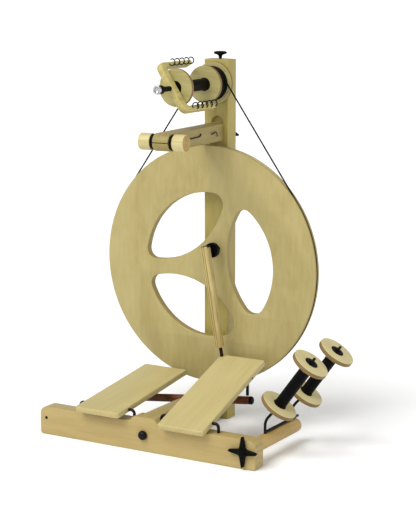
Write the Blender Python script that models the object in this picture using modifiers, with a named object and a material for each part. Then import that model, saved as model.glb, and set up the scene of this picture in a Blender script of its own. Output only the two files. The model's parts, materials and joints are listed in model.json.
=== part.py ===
# Upright two-treadle spinning wheel with a bobbin rack on its foot beam.
# Metres, +Z up.  The origin is the middle of the foot beam's underside.
# +X is the spinner's right, +Y runs back from the beam to the post.
import math

import bmesh
import bpy
from mathutils import Matrix, Vector

# ---- driving dimensions ----------------------------------------------------
GAP = 0.0003                 # clearance between touching pieces

BEAM_LENGTH = 0.506
BEAM_DEPTH = 0.034
BEAM_HEIGHT = 0.0586

POST_WIDTH = 0.0566
POST_DEPTH = 0.0338
POST_HEIGHT = 0.762
POST_FRONT = 0.2674

LEG_WIDTH = 0.035
LEG_TOP = 0.0688
LEG_BOTTOM = 0.010
LAP_FLOOR = 0.044            # the beam is notched from here up for the leg
LEG_FRONT = -0.0060          # front end of the leg, inside the beam

WHEEL_RADIUS = 0.250
WHEEL_THICKNESS = 0.016
WHEEL_FRONT = 0.2365
WHEEL_HEIGHT = 0.3374        # height of the wheel's axis
GROOVE_DEPTH = 0.003
OPENING_OUTER = 0.152        # outer arc of each opening in the wheel
OPENING_INNER = 0.170        # radius of its inner arc
OPENING_OFFSET = 0.215       # centre of that inner arc from the wheel's axis
OPENING_CORNER = 0.015
OPENING_FIRST = 7.0          # degrees, direction of the first opening
AXLE_RADIUS = 0.006

CRANK_THROW = 0.0432
CRANK_ANGLE = 57.9           # degrees up from +X at rest
PIN_RADIUS = 0.005
CRANK_BEARING_RADIUS = 0.0154

TREADLE_WIDTH = 0.104
TREADLE_THICKNESS = 0.012
TREADLE_FRONT = 0.040        # from the pivot to the toe end
TREADLE_BACK = 0.226         # from the pivot to the heel end
TREADLE_X = 0.0975
TREADLE_PIVOT_Z = 0.076
SLOPE_RIGHT = 19.5           # degrees at rest
SLOPE_LEFT = 7.0
HINGE_WIRE = 0.003

ROCKER_Y = 0.159
ROCKER_Z = 0.0675
ROCKER_PIN_Z = 0.0630
ROCKER_PIN = 0.0025
ROCKER_RADIUS = 0.00825
ROCKER_HALF = 0.151
ROCKER_TILT = 6.4            # degrees, the right end is up at rest
LINK_X = 0.138
LINK_RADIUS = 0.0033

ROD_BOTTOM = (0.0485, 0.2030, 0.1740)
ROD_TOP = (0.0170, 0.1970, 0.3840)
ROD_WIDTH = 0.0125
ROD_DEPTH = 0.014

FLYER_Z = 0.7135             # height of the flyer's axis
FLYER_LEAN = 32.98           # degrees, turn of the flyer's frame at rest
FLYER_HALF = 0.056           # half the flyer's width
FLYER_ARM = 0.012
FLYER_BOARD = 0.013
FLYER_FRONT = 0.087
FLYER_CROSS = 0.020
FLYER_END = 0.2090
SHAFT_RADIUS = 0.005
HOOKS_PER_ARM = 5
HOOK_FIRST = 0.1205
HOOK_PITCH = 0.0178
HOOK_LOOP = 0.0065
HOOK_WIRE = 0.0012

WHORL_RADIUS = 0.0355
BAND_RADIUS = 0.0016
BAND_Y = WHEEL_FRONT + WHEEL_THICKNESS / 2

FLANGE_RADIUS = 0.038
FLANGE_THICKNESS = 0.0085
CORE_RADIUS = 0.0120
BOBBIN_PITCH = 0.111         # front of one flange to the front of the other
BOBBIN_FRONT = 0.1085

ARM_WIDTH = 0.035
ARM_LENGTH = 0.2241          # from the post to the middle of the peg
ARM_Z = 0.6126
ARM_SWING = 3.4              # degrees the arm is swung to the right
PEG_HALF = 0.0500
PEG_RADIUS = 0.0168
PEG_NECK = 0.009

RACK_X = 0.229               # the rack's dowel, held at the beam's right end
RACK_Z = 0.036
RACK_RADIUS = 0.0142
RACK_END = 0.200
SPINDLE_FOOT = 0.0676        # foot of the front spindle
SPINDLE_PITCH = 0.1120
SPINDLE_BEND_Z = 0.0700
SPINDLE_RISE = 54.2          # degrees above level
SPINDLE_TURN = 5.0           # degrees from +X towards +Y
SPINDLE_RADIUS = 0.0028
RACK_FLANGE_AT = 0.0445      # along the spindle, from its bend to the bobbin
SPINDLE_PAST = 0.0125        # length of spindle past the bobbin

OBJECT_NAME = "spinning_wheel"

# ---- colours: red, green, blue, roughness, metallic ------------------------
PALE_WOOD = (0.58, 0.46, 0.27, 0.50, 0.0)
PLYWOOD = (0.60, 0.49, 0.29, 0.48, 0.0)
BIRCH_TURNED = (0.56, 0.44, 0.24, 0.50, 0.0)
BLACK_PLASTIC = (0.012, 0.012, 0.013, 0.45, 0.0)
BLACK_WIRE = (0.015, 0.014, 0.014, 0.40, 0.6)
BROWN_WOOD = (0.075, 0.026, 0.010, 0.50, 0.0)
BROWN_CORD = (0.030, 0.012, 0.008, 0.70, 0.0)
BRIGHT_STEEL = (0.62, 0.62, 0.63, 0.25, 1.0)
BAND_BLACK = (0.014, 0.014, 0.014, 0.60, 0.0)

# ---- clear the scene, make the two collections -----------------------------
for old in list(bpy.data.objects):
    bpy.data.objects.remove(old, do_unlink=True)

parts = bpy.data.collections.new(OBJECT_NAME)
bpy.context.scene.collection.children.link(parts)
cutters = bpy.data.collections.new("cutters")
bpy.context.scene.collection.children.link(cutters)


# ---- helpers ---------------------------------------------------------------
def paint(obj, look):
    """Give an object a Principled material of its own."""
    material = bpy.data.materials.new(obj.name)
    material.use_nodes = True
    shader = material.node_tree.nodes["Principled BSDF"]
    shader.inputs["Base Color"].default_value = (look[0], look[1], look[2], 1.0)
    shader.inputs["Roughness"].default_value = look[3]
    shader.inputs["Metallic"].default_value = look[4]
    obj.data.materials.clear()
    obj.data.materials.append(material)


def add_object(name, data, look=None):
    """A look puts the object among the parts; without one it is a cutter."""
    obj = bpy.data.objects.new(name, data)
    if look is None:
        cutters.objects.link(obj)
        obj.hide_render = True
        obj.display_type = "WIRE"
    else:
        parts.objects.link(obj)
        paint(obj, look)
    return obj


def smooth(obj, degrees=35.0):
    obj.data.shade_smooth()
    obj.data.set_sharp_from_angle(angle=math.radians(degrees))


def box(name, size, centre, look=None, bevel=0.0, turn=None):
    """A block of the given size, turned and moved into place."""
    mesh = bpy.data.meshes.new(name)
    shape = bmesh.new()
    bmesh.ops.create_cube(shape, size=1.0)
    bmesh.ops.scale(shape, vec=Vector(size), verts=shape.verts)
    shape.to_mesh(mesh)
    shape.free()
    obj = add_object(name, mesh, look)
    obj.location = centre
    if turn is not None:
        obj.rotation_euler = turn
    if bevel > 0.0:
        edge = obj.modifiers.new("Bevel", "BEVEL")
        edge.width = bevel
        edge.segments = 2
        edge.limit_method = "ANGLE"
    return obj


def turned(name, profile, place, along, look=None, steps=40):
    """Turn a profile of (radius, height) pairs, top to bottom, about along."""
    mesh = bpy.data.meshes.new(name)
    shape = bmesh.new()
    closed = profile[0] == profile[-1]
    points = [shape.verts.new((radius, 0.0, height))
              for radius, height in (profile[:-1] if closed else profile)]
    for first, second in zip(points, points[1:]):
        shape.edges.new((first, second))
    if closed:
        shape.edges.new((points[-1], points[0]))
    shape.to_mesh(mesh)
    shape.free()
    obj = add_object(name, mesh, look)
    screw = obj.modifiers.new("Screw", "SCREW")
    screw.axis = "Z"
    screw.steps = steps
    screw.render_steps = steps
    screw.use_merge_vertices = True
    screw.merge_threshold = 0.00001
    screw.use_smooth_shade = True
    obj.location = place
    obj.rotation_mode = "QUATERNION"
    obj.rotation_quaternion = Vector((0, 0, 1)).rotation_difference(Vector(along))
    return obj


def rod_profile(radius, length, edge=0.0):
    """Profile of a plain round bar, its middle at the origin."""
    half = length / 2
    if edge <= 0.0:
        return [(0.0, half), (radius, half), (radius, -half), (0.0, -half)]
    return [(0.0, half), (radius - edge, half), (radius, half - edge),
            (radius, edge - half), (radius - edge, -half), (0.0, -half)]


def rod(name, radius, length, centre, along, look=None, edge=0.0, steps=32):
    return turned(name, rod_profile(radius, length, edge), centre, along, look, steps)


def pipe_profile(outer, inner, length):
    """Closed profile of a round pipe: outer side down, bore side up."""
    half = length / 2
    return [(outer, half), (outer, -half), (inner, -half), (inner, half), (outer, half)]


def wire(name, points, radius, look, sides=2, cyclic=False):
    """A bent wire through the points, round in section."""
    curve = bpy.data.curves.new(name, "CURVE")
    curve.dimensions = "3D"
    curve.bevel_depth = radius
    curve.bevel_resolution = sides
    curve.use_fill_caps = not cyclic
    spline = curve.splines.new("POLY")
    spline.points.add(len(points) - 1)
    for slot, point in zip(spline.points, points):
        slot.co = (point[0], point[1], point[2], 1.0)
    spline.use_cyclic_u = cyclic
    obj = add_object(name, curve, look)
    return obj


def to_mesh(obj):
    """Replace a curve object by its own closed mesh, in the same place."""
    bpy.context.view_layer.update()
    graph = bpy.context.evaluated_depsgraph_get()
    mesh = bpy.data.meshes.new_from_object(obj.evaluated_get(graph))
    shape = bmesh.new()
    shape.from_mesh(mesh)
    bmesh.ops.remove_doubles(shape, verts=shape.verts, dist=0.00001)
    shape.to_mesh(mesh)
    shape.free()
    name = obj.name
    place = obj.matrix_world.copy()
    home = obj.users_collection[0]
    hidden = obj.hide_render
    bpy.data.objects.remove(obj, do_unlink=True)
    solid = bpy.data.objects.new(name, mesh)
    home.objects.link(solid)
    solid.matrix_world = place
    solid.hide_render = hidden
    if hidden:
        solid.display_type = "WIRE"
    return solid


def board(name, outline, thickness, look=None):
    """A flat board cut to an outline in its own XY plane."""
    curve = bpy.data.curves.new(name, "CURVE")
    curve.dimensions = "2D"
    curve.fill_mode = "BOTH"
    curve.extrude = thickness / 2
    spline = curve.splines.new("POLY")
    spline.points.add(len(outline) - 1)
    for slot, point in zip(spline.points, outline):
        slot.co = (point[0], point[1], 0.0, 1.0)
    spline.use_cyclic_u = True
    return to_mesh(add_object(name, curve, look))


def boolean(obj, other, operation="DIFFERENCE"):
    change = obj.modifiers.new(operation.title(), "BOOLEAN")
    change.operation = operation
    change.solver = "EXACT"
    change.object = other


def bore(obj, radius, start, end, steps=20):
    """Drill a round hole from start to end."""
    first = Vector(start)
    last = Vector(end)
    middle = (first + last) / 2
    drill = rod(obj.name + "_drill", radius, (last - first).length,
                middle, (last - first).normalized(), steps=steps)
    boolean(obj, drill)


def set_origin(obj, place):
    """Move an object's origin to a point, leaving its shape where it is."""
    bpy.context.view_layer.update()
    target = Vector(place)
    local = obj.matrix_world.inverted() @ target
    obj.data.transform(Matrix.Translation(-local))
    obj.matrix_world.translation = target


def pivot(name, place):
    """An empty on a joint's axis."""
    marker = bpy.data.objects.new(name, None)
    marker.empty_display_size = 0.02
    marker.location = place
    parts.objects.link(marker)
    return marker


def hang(marker, objects):
    """Parent objects to a pivot without moving them."""
    bpy.context.view_layer.update()
    for obj in objects:
        obj.parent = marker
        obj.matrix_parent_inverse = marker.matrix_world.inverted()


def arc(centre, radius, first, last, count):
    """Points on an arc, angles in degrees."""
    points = []
    for step in range(count):
        angle = math.radians(first + (last - first) * step / (count - 1))
        points.append((centre[0] + radius * math.cos(angle),
                       centre[1] + radius * math.sin(angle)))
    return points


def rounded(corners, count=6):
    """Round the corners of a polygon; each corner is (x, y, radius)."""
    points = []
    total = len(corners)
    for index in range(total):
        here = Vector(corners[index][:2])
        before = (Vector(corners[index - 1][:2]) - here).normalized()
        after = (Vector(corners[(index + 1) % total][:2]) - here).normalized()
        radius = corners[index][2]
        if radius <= 0.0:
            points.append((here.x, here.y))
            continue
        half = before.angle(after) / 2
        middle = here + (before + after).normalized() * radius / math.sin(half)
        start = here + before * radius / math.tan(half) - middle
        end = here + after * radius / math.tan(half) - middle
        for step in range(count + 1):
            mixed = start.lerp(end, step / count).normalized() * radius
            points.append((middle.x + mixed.x, middle.y + mixed.y))
    return points


# ---- frame: beam, leg, post ------------------------------------------------
def beam_outline():
    """Front view of the foot beam: flat below, ends rounded, raised over the leg."""
    half = BEAM_LENGTH / 2
    return rounded([(half, 0.0, 0.006), (half, BEAM_HEIGHT, 0.016),
                    (0.0350, BEAM_HEIGHT, 0.010), (0.0240, LEG_TOP + 0.0004, 0.005),
                    (-0.0240, LEG_TOP + 0.0004, 0.005), (-0.0350, BEAM_HEIGHT, 0.010),
                    (-half, BEAM_HEIGHT, 0.016), (-half, 0.0, 0.006)], 5)


beam = board("front_beam", beam_outline(), BEAM_DEPTH, PALE_WOOD)
beam.rotation_euler = (math.radians(90.0), 0.0, 0.0)
bpy.context.view_layer.update()
paint(beam, PALE_WOOD)
lap = box("beam_lap", (LEG_WIDTH + 2 * GAP, 0.060, 0.060),
          (0.0, LEG_FRONT - GAP + 0.030, LAP_FLOOR + 0.030))
boolean(beam, lap)
bore(beam, 0.0028, (-0.238, -0.030, 0.035), (-0.238, 0.030, 0.035))
bore(beam, 0.0043, (RACK_X, -0.030, RACK_Z), (RACK_X, 0.030, RACK_Z))
bore(beam, 0.0034, (0.0, -0.030, 0.034), (0.0, 0.030, 0.034))

leg = box("centre_leg", (LEG_WIDTH, POST_FRONT - GAP + BEAM_DEPTH / 2, LEG_TOP - LEG_BOTTOM),
          (0.0, (POST_FRONT - GAP - BEAM_DEPTH / 2) / 2, (LEG_TOP + LEG_BOTTOM) / 2),
          PALE_WOOD, bevel=0.0015)
under_lap = box("leg_lap", (0.060, BEAM_DEPTH + 2 * GAP, 0.040),
                (0.0, 0.0, LAP_FLOOR + GAP - 0.020))
boolean(leg, under_lap)
leg_gap = box("leg_front_clear", (0.060, 0.020, 0.080), (0.0, LEG_FRONT - 0.010, 0.050))
boolean(leg, leg_gap)
leg_notch = box("leg_notch", (0.060, 0.022, 0.040), (0.0, ROCKER_Y, 0.0520 + 0.020))
boolean(leg, leg_notch)
bore(leg, ROCKER_PIN + GAP, (0.0, ROCKER_Y - 0.024, ROCKER_PIN_Z),
     (0.0, ROCKER_Y + 0.024, ROCKER_PIN_Z), 16)
bore(leg, 0.0034, (0.0, 0.010, 0.034), (0.0, 0.060, 0.034))

post = box("post", (POST_WIDTH, POST_DEPTH, POST_HEIGHT),
           (0.0, POST_FRONT + POST_DEPTH / 2, POST_HEIGHT / 2), PALE_WOOD, bevel=0.002)
bore(post, AXLE_RADIUS + GAP, (0.0, POST_FRONT - 0.01, WHEEL_HEIGHT),
     (0.0, POST_FRONT + 0.0262, WHEEL_HEIGHT))
bore(post, 0.0115, (0.0, POST_FRONT - 0.01, FLYER_Z), (0.0, POST_FRONT + 0.022, FLYER_Z))
bore(post, 0.0043, (0.0, POST_FRONT - 0.01, ARM_Z), (0.0, POST_FRONT + 0.05, ARM_Z))
bore(post, 0.0043, (0.0, POST_FRONT + 0.017, POST_HEIGHT - 0.022),
     (0.0, POST_FRONT + 0.017, POST_HEIGHT + 0.010))
relief = rod("post_relief", 0.0140, 0.020, (0.0025, POST_FRONT - 0.004, 0.6308), (0, 1, 0))
relief_floor = box("post_relief_floor", (0.040, 0.030, 0.020),
                   (0.0025, POST_FRONT - 0.004, 0.6208))
boolean(relief, relief_floor)
boolean(post, relief)

beam_bolt = turned("beam_bolt", [(0.0, 0.0108), (0.0045, 0.0100), (0.0078, 0.0078), (0.0096, 0.0044),
                                 (0.0094, 0.0), (0.0030, 0.0), (0.0030, -0.0620), (0.0, -0.0620)],
                   (0.0, -BEAM_DEPTH / 2 - GAP, 0.034), (0, -1, 0), BLACK_WIRE, 28)

# ---- drive wheel -----------------------------------------------------------
half_rim = WHEEL_THICKNESS / 2
wheel = turned("drive_wheel",
               [(0.0, half_rim), (WHEEL_RADIUS - 0.0015, half_rim),
                (WHEEL_RADIUS, half_rim - 0.0015), (WHEEL_RADIUS, 0.0026),
                (WHEEL_RADIUS - GROOVE_DEPTH, 0.0012), (WHEEL_RADIUS - GROOVE_DEPTH, -0.0012),
                (WHEEL_RADIUS, -0.0026), (WHEEL_RADIUS, 0.0015 - half_rim),
                (WHEEL_RADIUS - 0.0015, -half_rim), (0.0, -half_rim)],
               (0.0, BAND_Y, WHEEL_HEIGHT), (0, 1, 0), PLYWOOD, 80)


def opening_outline():
    """Lens between two arcs, its corners rounded."""
    outer = OPENING_OUTER - OPENING_CORNER
    inner = OPENING_INNER - OPENING_CORNER
    across = (outer ** 2 - inner ** 2 + OPENING_OFFSET ** 2) / (2 * OPENING_OFFSET)
    up = math.sqrt(outer ** 2 - across ** 2)
    edge = math.degrees(math.atan2(up, across))
    back = math.degrees(math.atan2(up, across - OPENING_OFFSET))
    points = arc((0.0, 0.0), OPENING_OUTER, -edge, edge, 19)
    points += arc((across, up), OPENING_CORNER, edge, back, 8)[1:]
    points += arc((OPENING_OFFSET, 0.0), OPENING_INNER, back, 360.0 - back, 15)[1:]
    points += arc((across, -up), OPENING_CORNER, -back, -edge, 8)[1:-1]
    return points


for number in range(3):
    turn = math.radians(OPENING_FIRST + 120.0 * number)
    hole = board("wheel_opening_%d" % (number + 1), opening_outline(), 0.040)
    hole.rotation_euler = (math.radians(90.0), -turn, 0.0)
    hole.location = (0.0, BAND_Y, WHEEL_HEIGHT)
    boolean(wheel, hole)

crank_x = CRANK_THROW * math.cos(math.radians(CRANK_ANGLE))
crank_z = WHEEL_HEIGHT + CRANK_THROW * math.sin(math.radians(CRANK_ANGLE))
bore(wheel, PIN_RADIUS + GAP, (crank_x, WHEEL_FRONT - 0.01, crank_z), (crank_x, 0.262, crank_z))
bore(wheel, 0.0130, (0.0, WHEEL_FRONT + 0.005, WHEEL_HEIGHT), (0.0, 0.262, WHEEL_HEIGHT), 32)

hub_middle = (WHEEL_FRONT + 0.0053 + 0.2640) / 2
hub = turned("wheel_hub", pipe_profile(0.0127, AXLE_RADIUS + 0.0001, 0.2640 - WHEEL_FRONT - 0.0053),
             (0.0, hub_middle, WHEEL_HEIGHT), (0, 1, 0), BLACK_PLASTIC, 32)
axle = rod("wheel_axle", AXLE_RADIUS, 0.0510, (0.0, WHEEL_FRONT + 0.0056 + 0.0255, WHEEL_HEIGHT),
           (0, 1, 0), BRIGHT_STEEL, 0.0005)
crank_pin = rod("crank_pin", PIN_RADIUS, 0.0320, (crank_x, 0.2184 + 0.0160, crank_z),
                (0, 1, 0), BLACK_WIRE, 0.0004, 24)
crank_bearing = rod("crank_bearing", CRANK_BEARING_RADIUS, 0.0097,
                    (crank_x, 0.2184 - GAP - 0.00485, crank_z), (0, 1, 0), BLACK_PLASTIC, 0.0012, 36)
wheel_pivot = pivot("wheel_pivot", (0.0, BAND_Y, WHEEL_HEIGHT))
hang(wheel_pivot, [wheel, hub, crank_pin, crank_bearing])


# ---- treadles --------------------------------------------------------------
def treadle(side, centre_x, slope):
    """A treadle board on its hinge wire, tilted up towards the wheel."""
    length = TREADLE_FRONT + TREADLE_BACK
    half = TREADLE_WIDTH / 2
    outline = rounded([(half, -TREADLE_FRONT, 0.004), (half, TREADLE_BACK, 0.004),
                       (-half, TREADLE_BACK, 0.004), (-half, -TREADLE_FRONT, 0.004)], 3)
    plank = board("treadle_" + side, outline, TREADLE_THICKNESS, PALE_WOOD)
    paint(plank, PALE_WOOD)
    plank.location = (centre_x, 0.0, TREADLE_PIVOT_Z)
    plank.rotation_euler = (math.radians(slope), 0.0, 0.0)
    bore(plank, HINGE_WIRE + 0.00009, (centre_x - 0.08, 0.0, TREADLE_PIVOT_Z),
         (centre_x + 0.08, 0.0, TREADLE_PIVOT_Z), 16)
    return plank


def hinge_wire(side, centre_x):
    """A wire through the treadle, both ends bent down into the beam."""
    reach = TREADLE_WIDTH / 2 + 0.0135
    bend = 0.0075
    foot = BEAM_HEIGHT - 0.016
    left = []
    for point in arc((-reach + bend, TREADLE_PIVOT_Z - bend), bend, 180.0, 90.0, 6):
        left.append((centre_x + point[0], 0.0, point[1]))
    right = [(2 * centre_x - x, y, z) for x, y, z in reversed(left)]
    points = [(centre_x - reach, 0.0, foot)] + left + right + [(centre_x + reach, 0.0, foot)]
    for end in (-reach, reach):
        bore(beam, HINGE_WIRE + GAP, (centre_x + end, 0.0, foot - 0.001),
             (centre_x + end, 0.0, BEAM_HEIGHT + 0.01), 16)
    return wire("hinge_wire_" + side, points, HINGE_WIRE, BLACK_WIRE, 2)


treadle_right = treadle("right", TREADLE_X, SLOPE_RIGHT)
treadle_left = treadle("left", -TREADLE_X, SLOPE_LEFT)
hinge_wire("right", TREADLE_X)
hinge_wire("left", -TREADLE_X)


def under_treadle(distance, slope, depth):
    """Point on a treadle, distance from the pivot and depth below mid-thickness."""
    angle = math.radians(slope)
    return (distance * math.cos(angle) + depth * math.sin(angle),
            TREADLE_PIVOT_Z + distance * math.sin(angle) - depth * math.cos(angle))


# ---- rocker ----------------------------------------------------------------
tilt = math.radians(ROCKER_TILT)
rocker_way = (math.cos(tilt), 0.0, math.sin(tilt))


def on_rocker(distance, across=0.0):
    return (distance * math.cos(tilt) - across * math.sin(tilt), ROCKER_Y,
            ROCKER_Z + distance * math.sin(tilt) + across * math.cos(tilt))


rocker = rod("rocker_dowel", ROCKER_RADIUS, 2 * (ROCKER_HALF - 0.003),
             (0.0, ROCKER_Y, ROCKER_Z), rocker_way, BROWN_WOOD, 0.0, 28)
bore(rocker, ROCKER_PIN + 0.00009, (0.0, ROCKER_Y - 0.02, ROCKER_PIN_Z),
     (0.0, ROCKER_Y + 0.02, ROCKER_PIN_Z), 16)
rod("rocker_pin", ROCKER_PIN, 0.046, (0.0, ROCKER_Y, ROCKER_PIN_Z), (0, 1, 0), BRIGHT_STEEL, 0.0, 16)
caps = []
for side, sign in (("right", 1.0), ("left", -1.0)):
    cap = turned("rocker_cap_" + side,
                 [(0.0, 0.0030), (ROCKER_RADIUS - 0.0015, 0.0030), (ROCKER_RADIUS, 0.0016),
                  (ROCKER_RADIUS, 0.0), (0.0, 0.0)],
                 on_rocker(sign * (ROCKER_HALF - 0.003 + GAP)),
                 (sign * rocker_way[0], 0.0, sign * rocker_way[2]), BLACK_PLASTIC, 28)
    caps.append(cap)
rocker_pivot = pivot("rocker_pivot", (0.0, ROCKER_Y, ROCKER_PIN_Z))
hang(rocker_pivot, [rocker] + caps)


# ---- links from the rocker up to the treadles ------------------------------
def link(side, sign, slope, foot_gap):
    """A wire post between the rocker and a treadle's underside."""
    angle = math.radians(slope)
    along = (ROCKER_Y - (TREADLE_THICKNESS / 2 + GAP + LINK_RADIUS) * math.sin(angle)) / math.cos(angle)
    knee_y, knee_z = under_treadle(along, slope, TREADLE_THICKNESS / 2 + GAP + LINK_RADIUS)
    foot = ROCKER_Z + sign * LINK_X * math.tan(tilt) + ROCKER_RADIUS / math.cos(tilt) + foot_gap
    length = knee_z - foot
    profile = []
    for step in range(5):
        turn = math.radians(90.0 - 22.5 * step)
        profile.append((LINK_RADIUS * math.cos(turn), LINK_RADIUS * math.sin(turn)))
    profile += [(LINK_RADIUS, 0.0006 - length), (LINK_RADIUS - 0.0006, -length), (0.0, -length)]
    profile[0] = (0.0, LINK_RADIUS)
    post_wire = turned("link_wire_" + side, profile, (sign * LINK_X, knee_y, knee_z),
                       (0, 0, 1), BLACK_WIRE, 16)
    return post_wire, (sign * LINK_X, knee_y, knee_z)


link_right, knee_right = link("right", 1.0, SLOPE_RIGHT, 0.0016)
link_left, knee_left = link("left", -1.0, SLOPE_LEFT, 0.0040)

# ---- connecting rod from the right treadle to the crank --------------------
rod_base = Vector(ROD_BOTTOM)
rod_head = Vector(ROD_TOP)
rod_way = (rod_head - rod_base).normalized()
rod_length = (rod_head - rod_base).length
conrod = box("connecting_rod", (ROD_WIDTH, ROD_DEPTH, rod_length), (rod_base + rod_head) / 2,
             PALE_WOOD, 0.0018)
conrod.rotation_euler = Vector((0, 0, 1)).rotation_difference(rod_way).to_euler()

knee_angle = math.radians(SLOPE_RIGHT)
link_radius = 0.0035
seat_depth = -(TREADLE_THICKNESS / 2 + GAP + link_radius)
seat_along = (0.2040 - seat_depth * math.sin(knee_angle)) / math.cos(knee_angle)
seat_y, seat_z = under_treadle(seat_along, SLOPE_RIGHT, seat_depth)
seat = Vector((0.0510, seat_y, seat_z))
cord_end = rod_base - rod_way * 0.0006
cord_way = (cord_end - seat).normalized()
cord_length = (cord_end - seat).length
cord_profile = [(0.0, cord_length), (link_radius, cord_length)]
for step in range(5):
    turn = math.radians(22.5 * step)
    cord_profile.append((link_radius * math.cos(turn), -link_radius * math.sin(turn)))
cord_profile[-1] = (0.0, -link_radius)
conrod_joint = turned("rod_joint", cord_profile, seat, cord_way, BROWN_CORD, 20)

treadle_right_pivot = pivot("treadle_right_pivot", (TREADLE_X, 0.0, TREADLE_PIVOT_Z))
treadle_left_pivot = pivot("treadle_left_pivot", (-TREADLE_X, 0.0, TREADLE_PIVOT_Z))
link_right_pivot = pivot("link_right_pivot", knee_right)
link_left_pivot = pivot("link_left_pivot", knee_left)
rod_pivot = pivot("rod_pivot", seat)
hang(link_right_pivot, [link_right])
hang(link_left_pivot, [link_left])
hang(rod_pivot, [conrod, conrod_joint])
hang(treadle_right_pivot, [treadle_right, link_right_pivot, rod_pivot])
hang(treadle_left_pivot, [treadle_left, link_left_pivot])

# ---- flyer -----------------------------------------------------------------
lean = math.radians(FLYER_LEAN)
across_way = Vector((-math.sin(lean), 0.0, math.cos(lean)))
face_way = Vector((math.cos(lean), 0.0, math.sin(lean)))


def on_flyer(across, back, out=0.0):
    """Point from across the flyer's arms, back along its axis, out of its face."""
    return Vector((0.0, back, FLYER_Z)) + across_way * across + face_way * out


def flyer_outline():
    """U-shaped board: cross piece in front, two arms reaching back."""
    inside = FLYER_HALF - FLYER_ARM
    back = FLYER_FRONT + FLYER_CROSS
    return rounded([(-FLYER_HALF, FLYER_FRONT, 0.020), (FLYER_HALF, FLYER_FRONT, 0.020),
                    (FLYER_HALF, FLYER_END, 0.003), (inside + 0.003, FLYER_END, 0.006),
                    (inside, FLYER_END - 0.014, 0.010), (inside, back, 0.009),
                    (-inside, back, 0.009), (-inside, FLYER_END - 0.014, 0.010),
                    (-inside - 0.003, FLYER_END, 0.006), (-FLYER_HALF, FLYER_END, 0.003)], 5)


flyer_frame = board("flyer_frame", flyer_outline(), FLYER_BOARD, BIRCH_TURNED)
paint(flyer_frame, BIRCH_TURNED)
flyer_frame.matrix_world = Matrix((
    (across_way.x, 0.0, -face_way.x, 0.0),
    (0.0, 1.0, 0.0, 0.0),
    (across_way.z, 0.0, -face_way.z, FLYER_Z),
    (0.0, 0.0, 0.0, 1.0)))
bore(flyer_frame, SHAFT_RADIUS + GAP, (0.0, FLYER_FRONT - 0.02, FLYER_Z),
     (0.0, FLYER_FRONT + 0.04, FLYER_Z))

orifice_ring = turned("orifice_ring", pipe_profile(0.0090, 0.0060, 0.0050),
                      (0.0, 0.0415, FLYER_Z), (0, -1, 0), BRIGHT_STEEL, 32)
orifice_tube = turned("orifice_tube",
                      [(0.0, 0.0100), (0.0044, 0.0100), (0.0044, 0.0300), (0.0088, 0.0300),
                       (0.0088, 0.0180), (0.0052, 0.0160), (0.0052, -0.0130), (0.0, -0.0130)],
                      (0.0, 0.0743, FLYER_Z), (0, -1, 0), BLACK_PLASTIC, 28)
flyer_shaft = rod("flyer_shaft", SHAFT_RADIUS, POST_FRONT + 0.0200 - 0.0878,
                  (0.0, (POST_FRONT + 0.0200 + 0.0878) / 2, FLYER_Z), (0, 1, 0),
                  BRIGHT_STEEL, 0.0005, 24)

whorl_front = BOBBIN_FRONT + BOBBIN_PITCH + FLANGE_THICKNESS + 0.0010
whorl_back = 0.2535
groove_front = BAND_Y - whorl_front
groove_back = BAND_Y - whorl_back
whorl = turned("flyer_whorl",
               [(0.0060, groove_front), (0.0300, groove_front), (WHORL_RADIUS, groove_front - 0.006),
                (WHORL_RADIUS, 0.0034), (WHORL_RADIUS - 0.0045, 0.0014),
                (WHORL_RADIUS - 0.0045, -0.0014), (WHORL_RADIUS, -0.0034),
                (WHORL_RADIUS, groove_back), (0.0060, groove_back), (0.0060, groove_front)],
               (0.0, BAND_Y, FLYER_Z), (0, -1, 0), BLACK_PLASTIC, 32)
rear_disc = turned("rear_disc",
                   [(0.0060, 0.0040), (0.0440, 0.0040), (0.0440, -0.0040), (0.0060, -0.0040),
                    (0.0060, 0.0040)],
                   (0.0, 0.2535 + GAP + 0.0040, FLYER_Z), (0, -1, 0), BIRCH_TURNED, 40)
bearing = turned("flyer_bearing",
                 [(0.0052, 0.0035), (0.0140, 0.0035), (0.0140, GAP), (0.0112, GAP), (0.0112, -0.0210),
                  (0.0052, -0.0210), (0.0052, 0.0035)],
                 (0.0, POST_FRONT, FLYER_Z), (0, -1, 0), BLACK_PLASTIC, 28)

flyer_pieces = [flyer_frame, orifice_ring, orifice_tube, flyer_shaft, whorl, rear_disc]
for arm_name, place in (("upper", FLYER_HALF - FLYER_ARM / 2), ("lower", FLYER_ARM / 2 - FLYER_HALF)):
    for number in range(HOOKS_PER_ARM):
        back = HOOK_FIRST + HOOK_PITCH * number
        middle = FLYER_BOARD / 2 + HOOK_LOOP + 0.0006
        stem_hole = on_flyer(place, back, 0.002)
        stem_top = on_flyer(place, back, FLYER_BOARD / 2 + 0.01)
        bore(flyer_frame, HOOK_WIRE + GAP, stem_hole, stem_top, 10)
        points = [on_flyer(place, back, 0.0026)]
        for step in range(13):
            turn = math.radians(-90.0 + 285.0 * step / 12)
            side = math.copysign(HOOK_LOOP, -place) * math.cos(turn)
            rise = HOOK_LOOP * math.sin(turn)
            slide = 0.0035 * step / 12
            points.append(on_flyer(place + side, back + slide, middle + rise))
        flyer_pieces.append(wire("flyer_hook_%s_%d" % (arm_name, number + 1), points, HOOK_WIRE,
                                 BLACK_WIRE, 1))
flyer_pivot = pivot("flyer_pivot", (0.0, 0.150, FLYER_Z))


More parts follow.
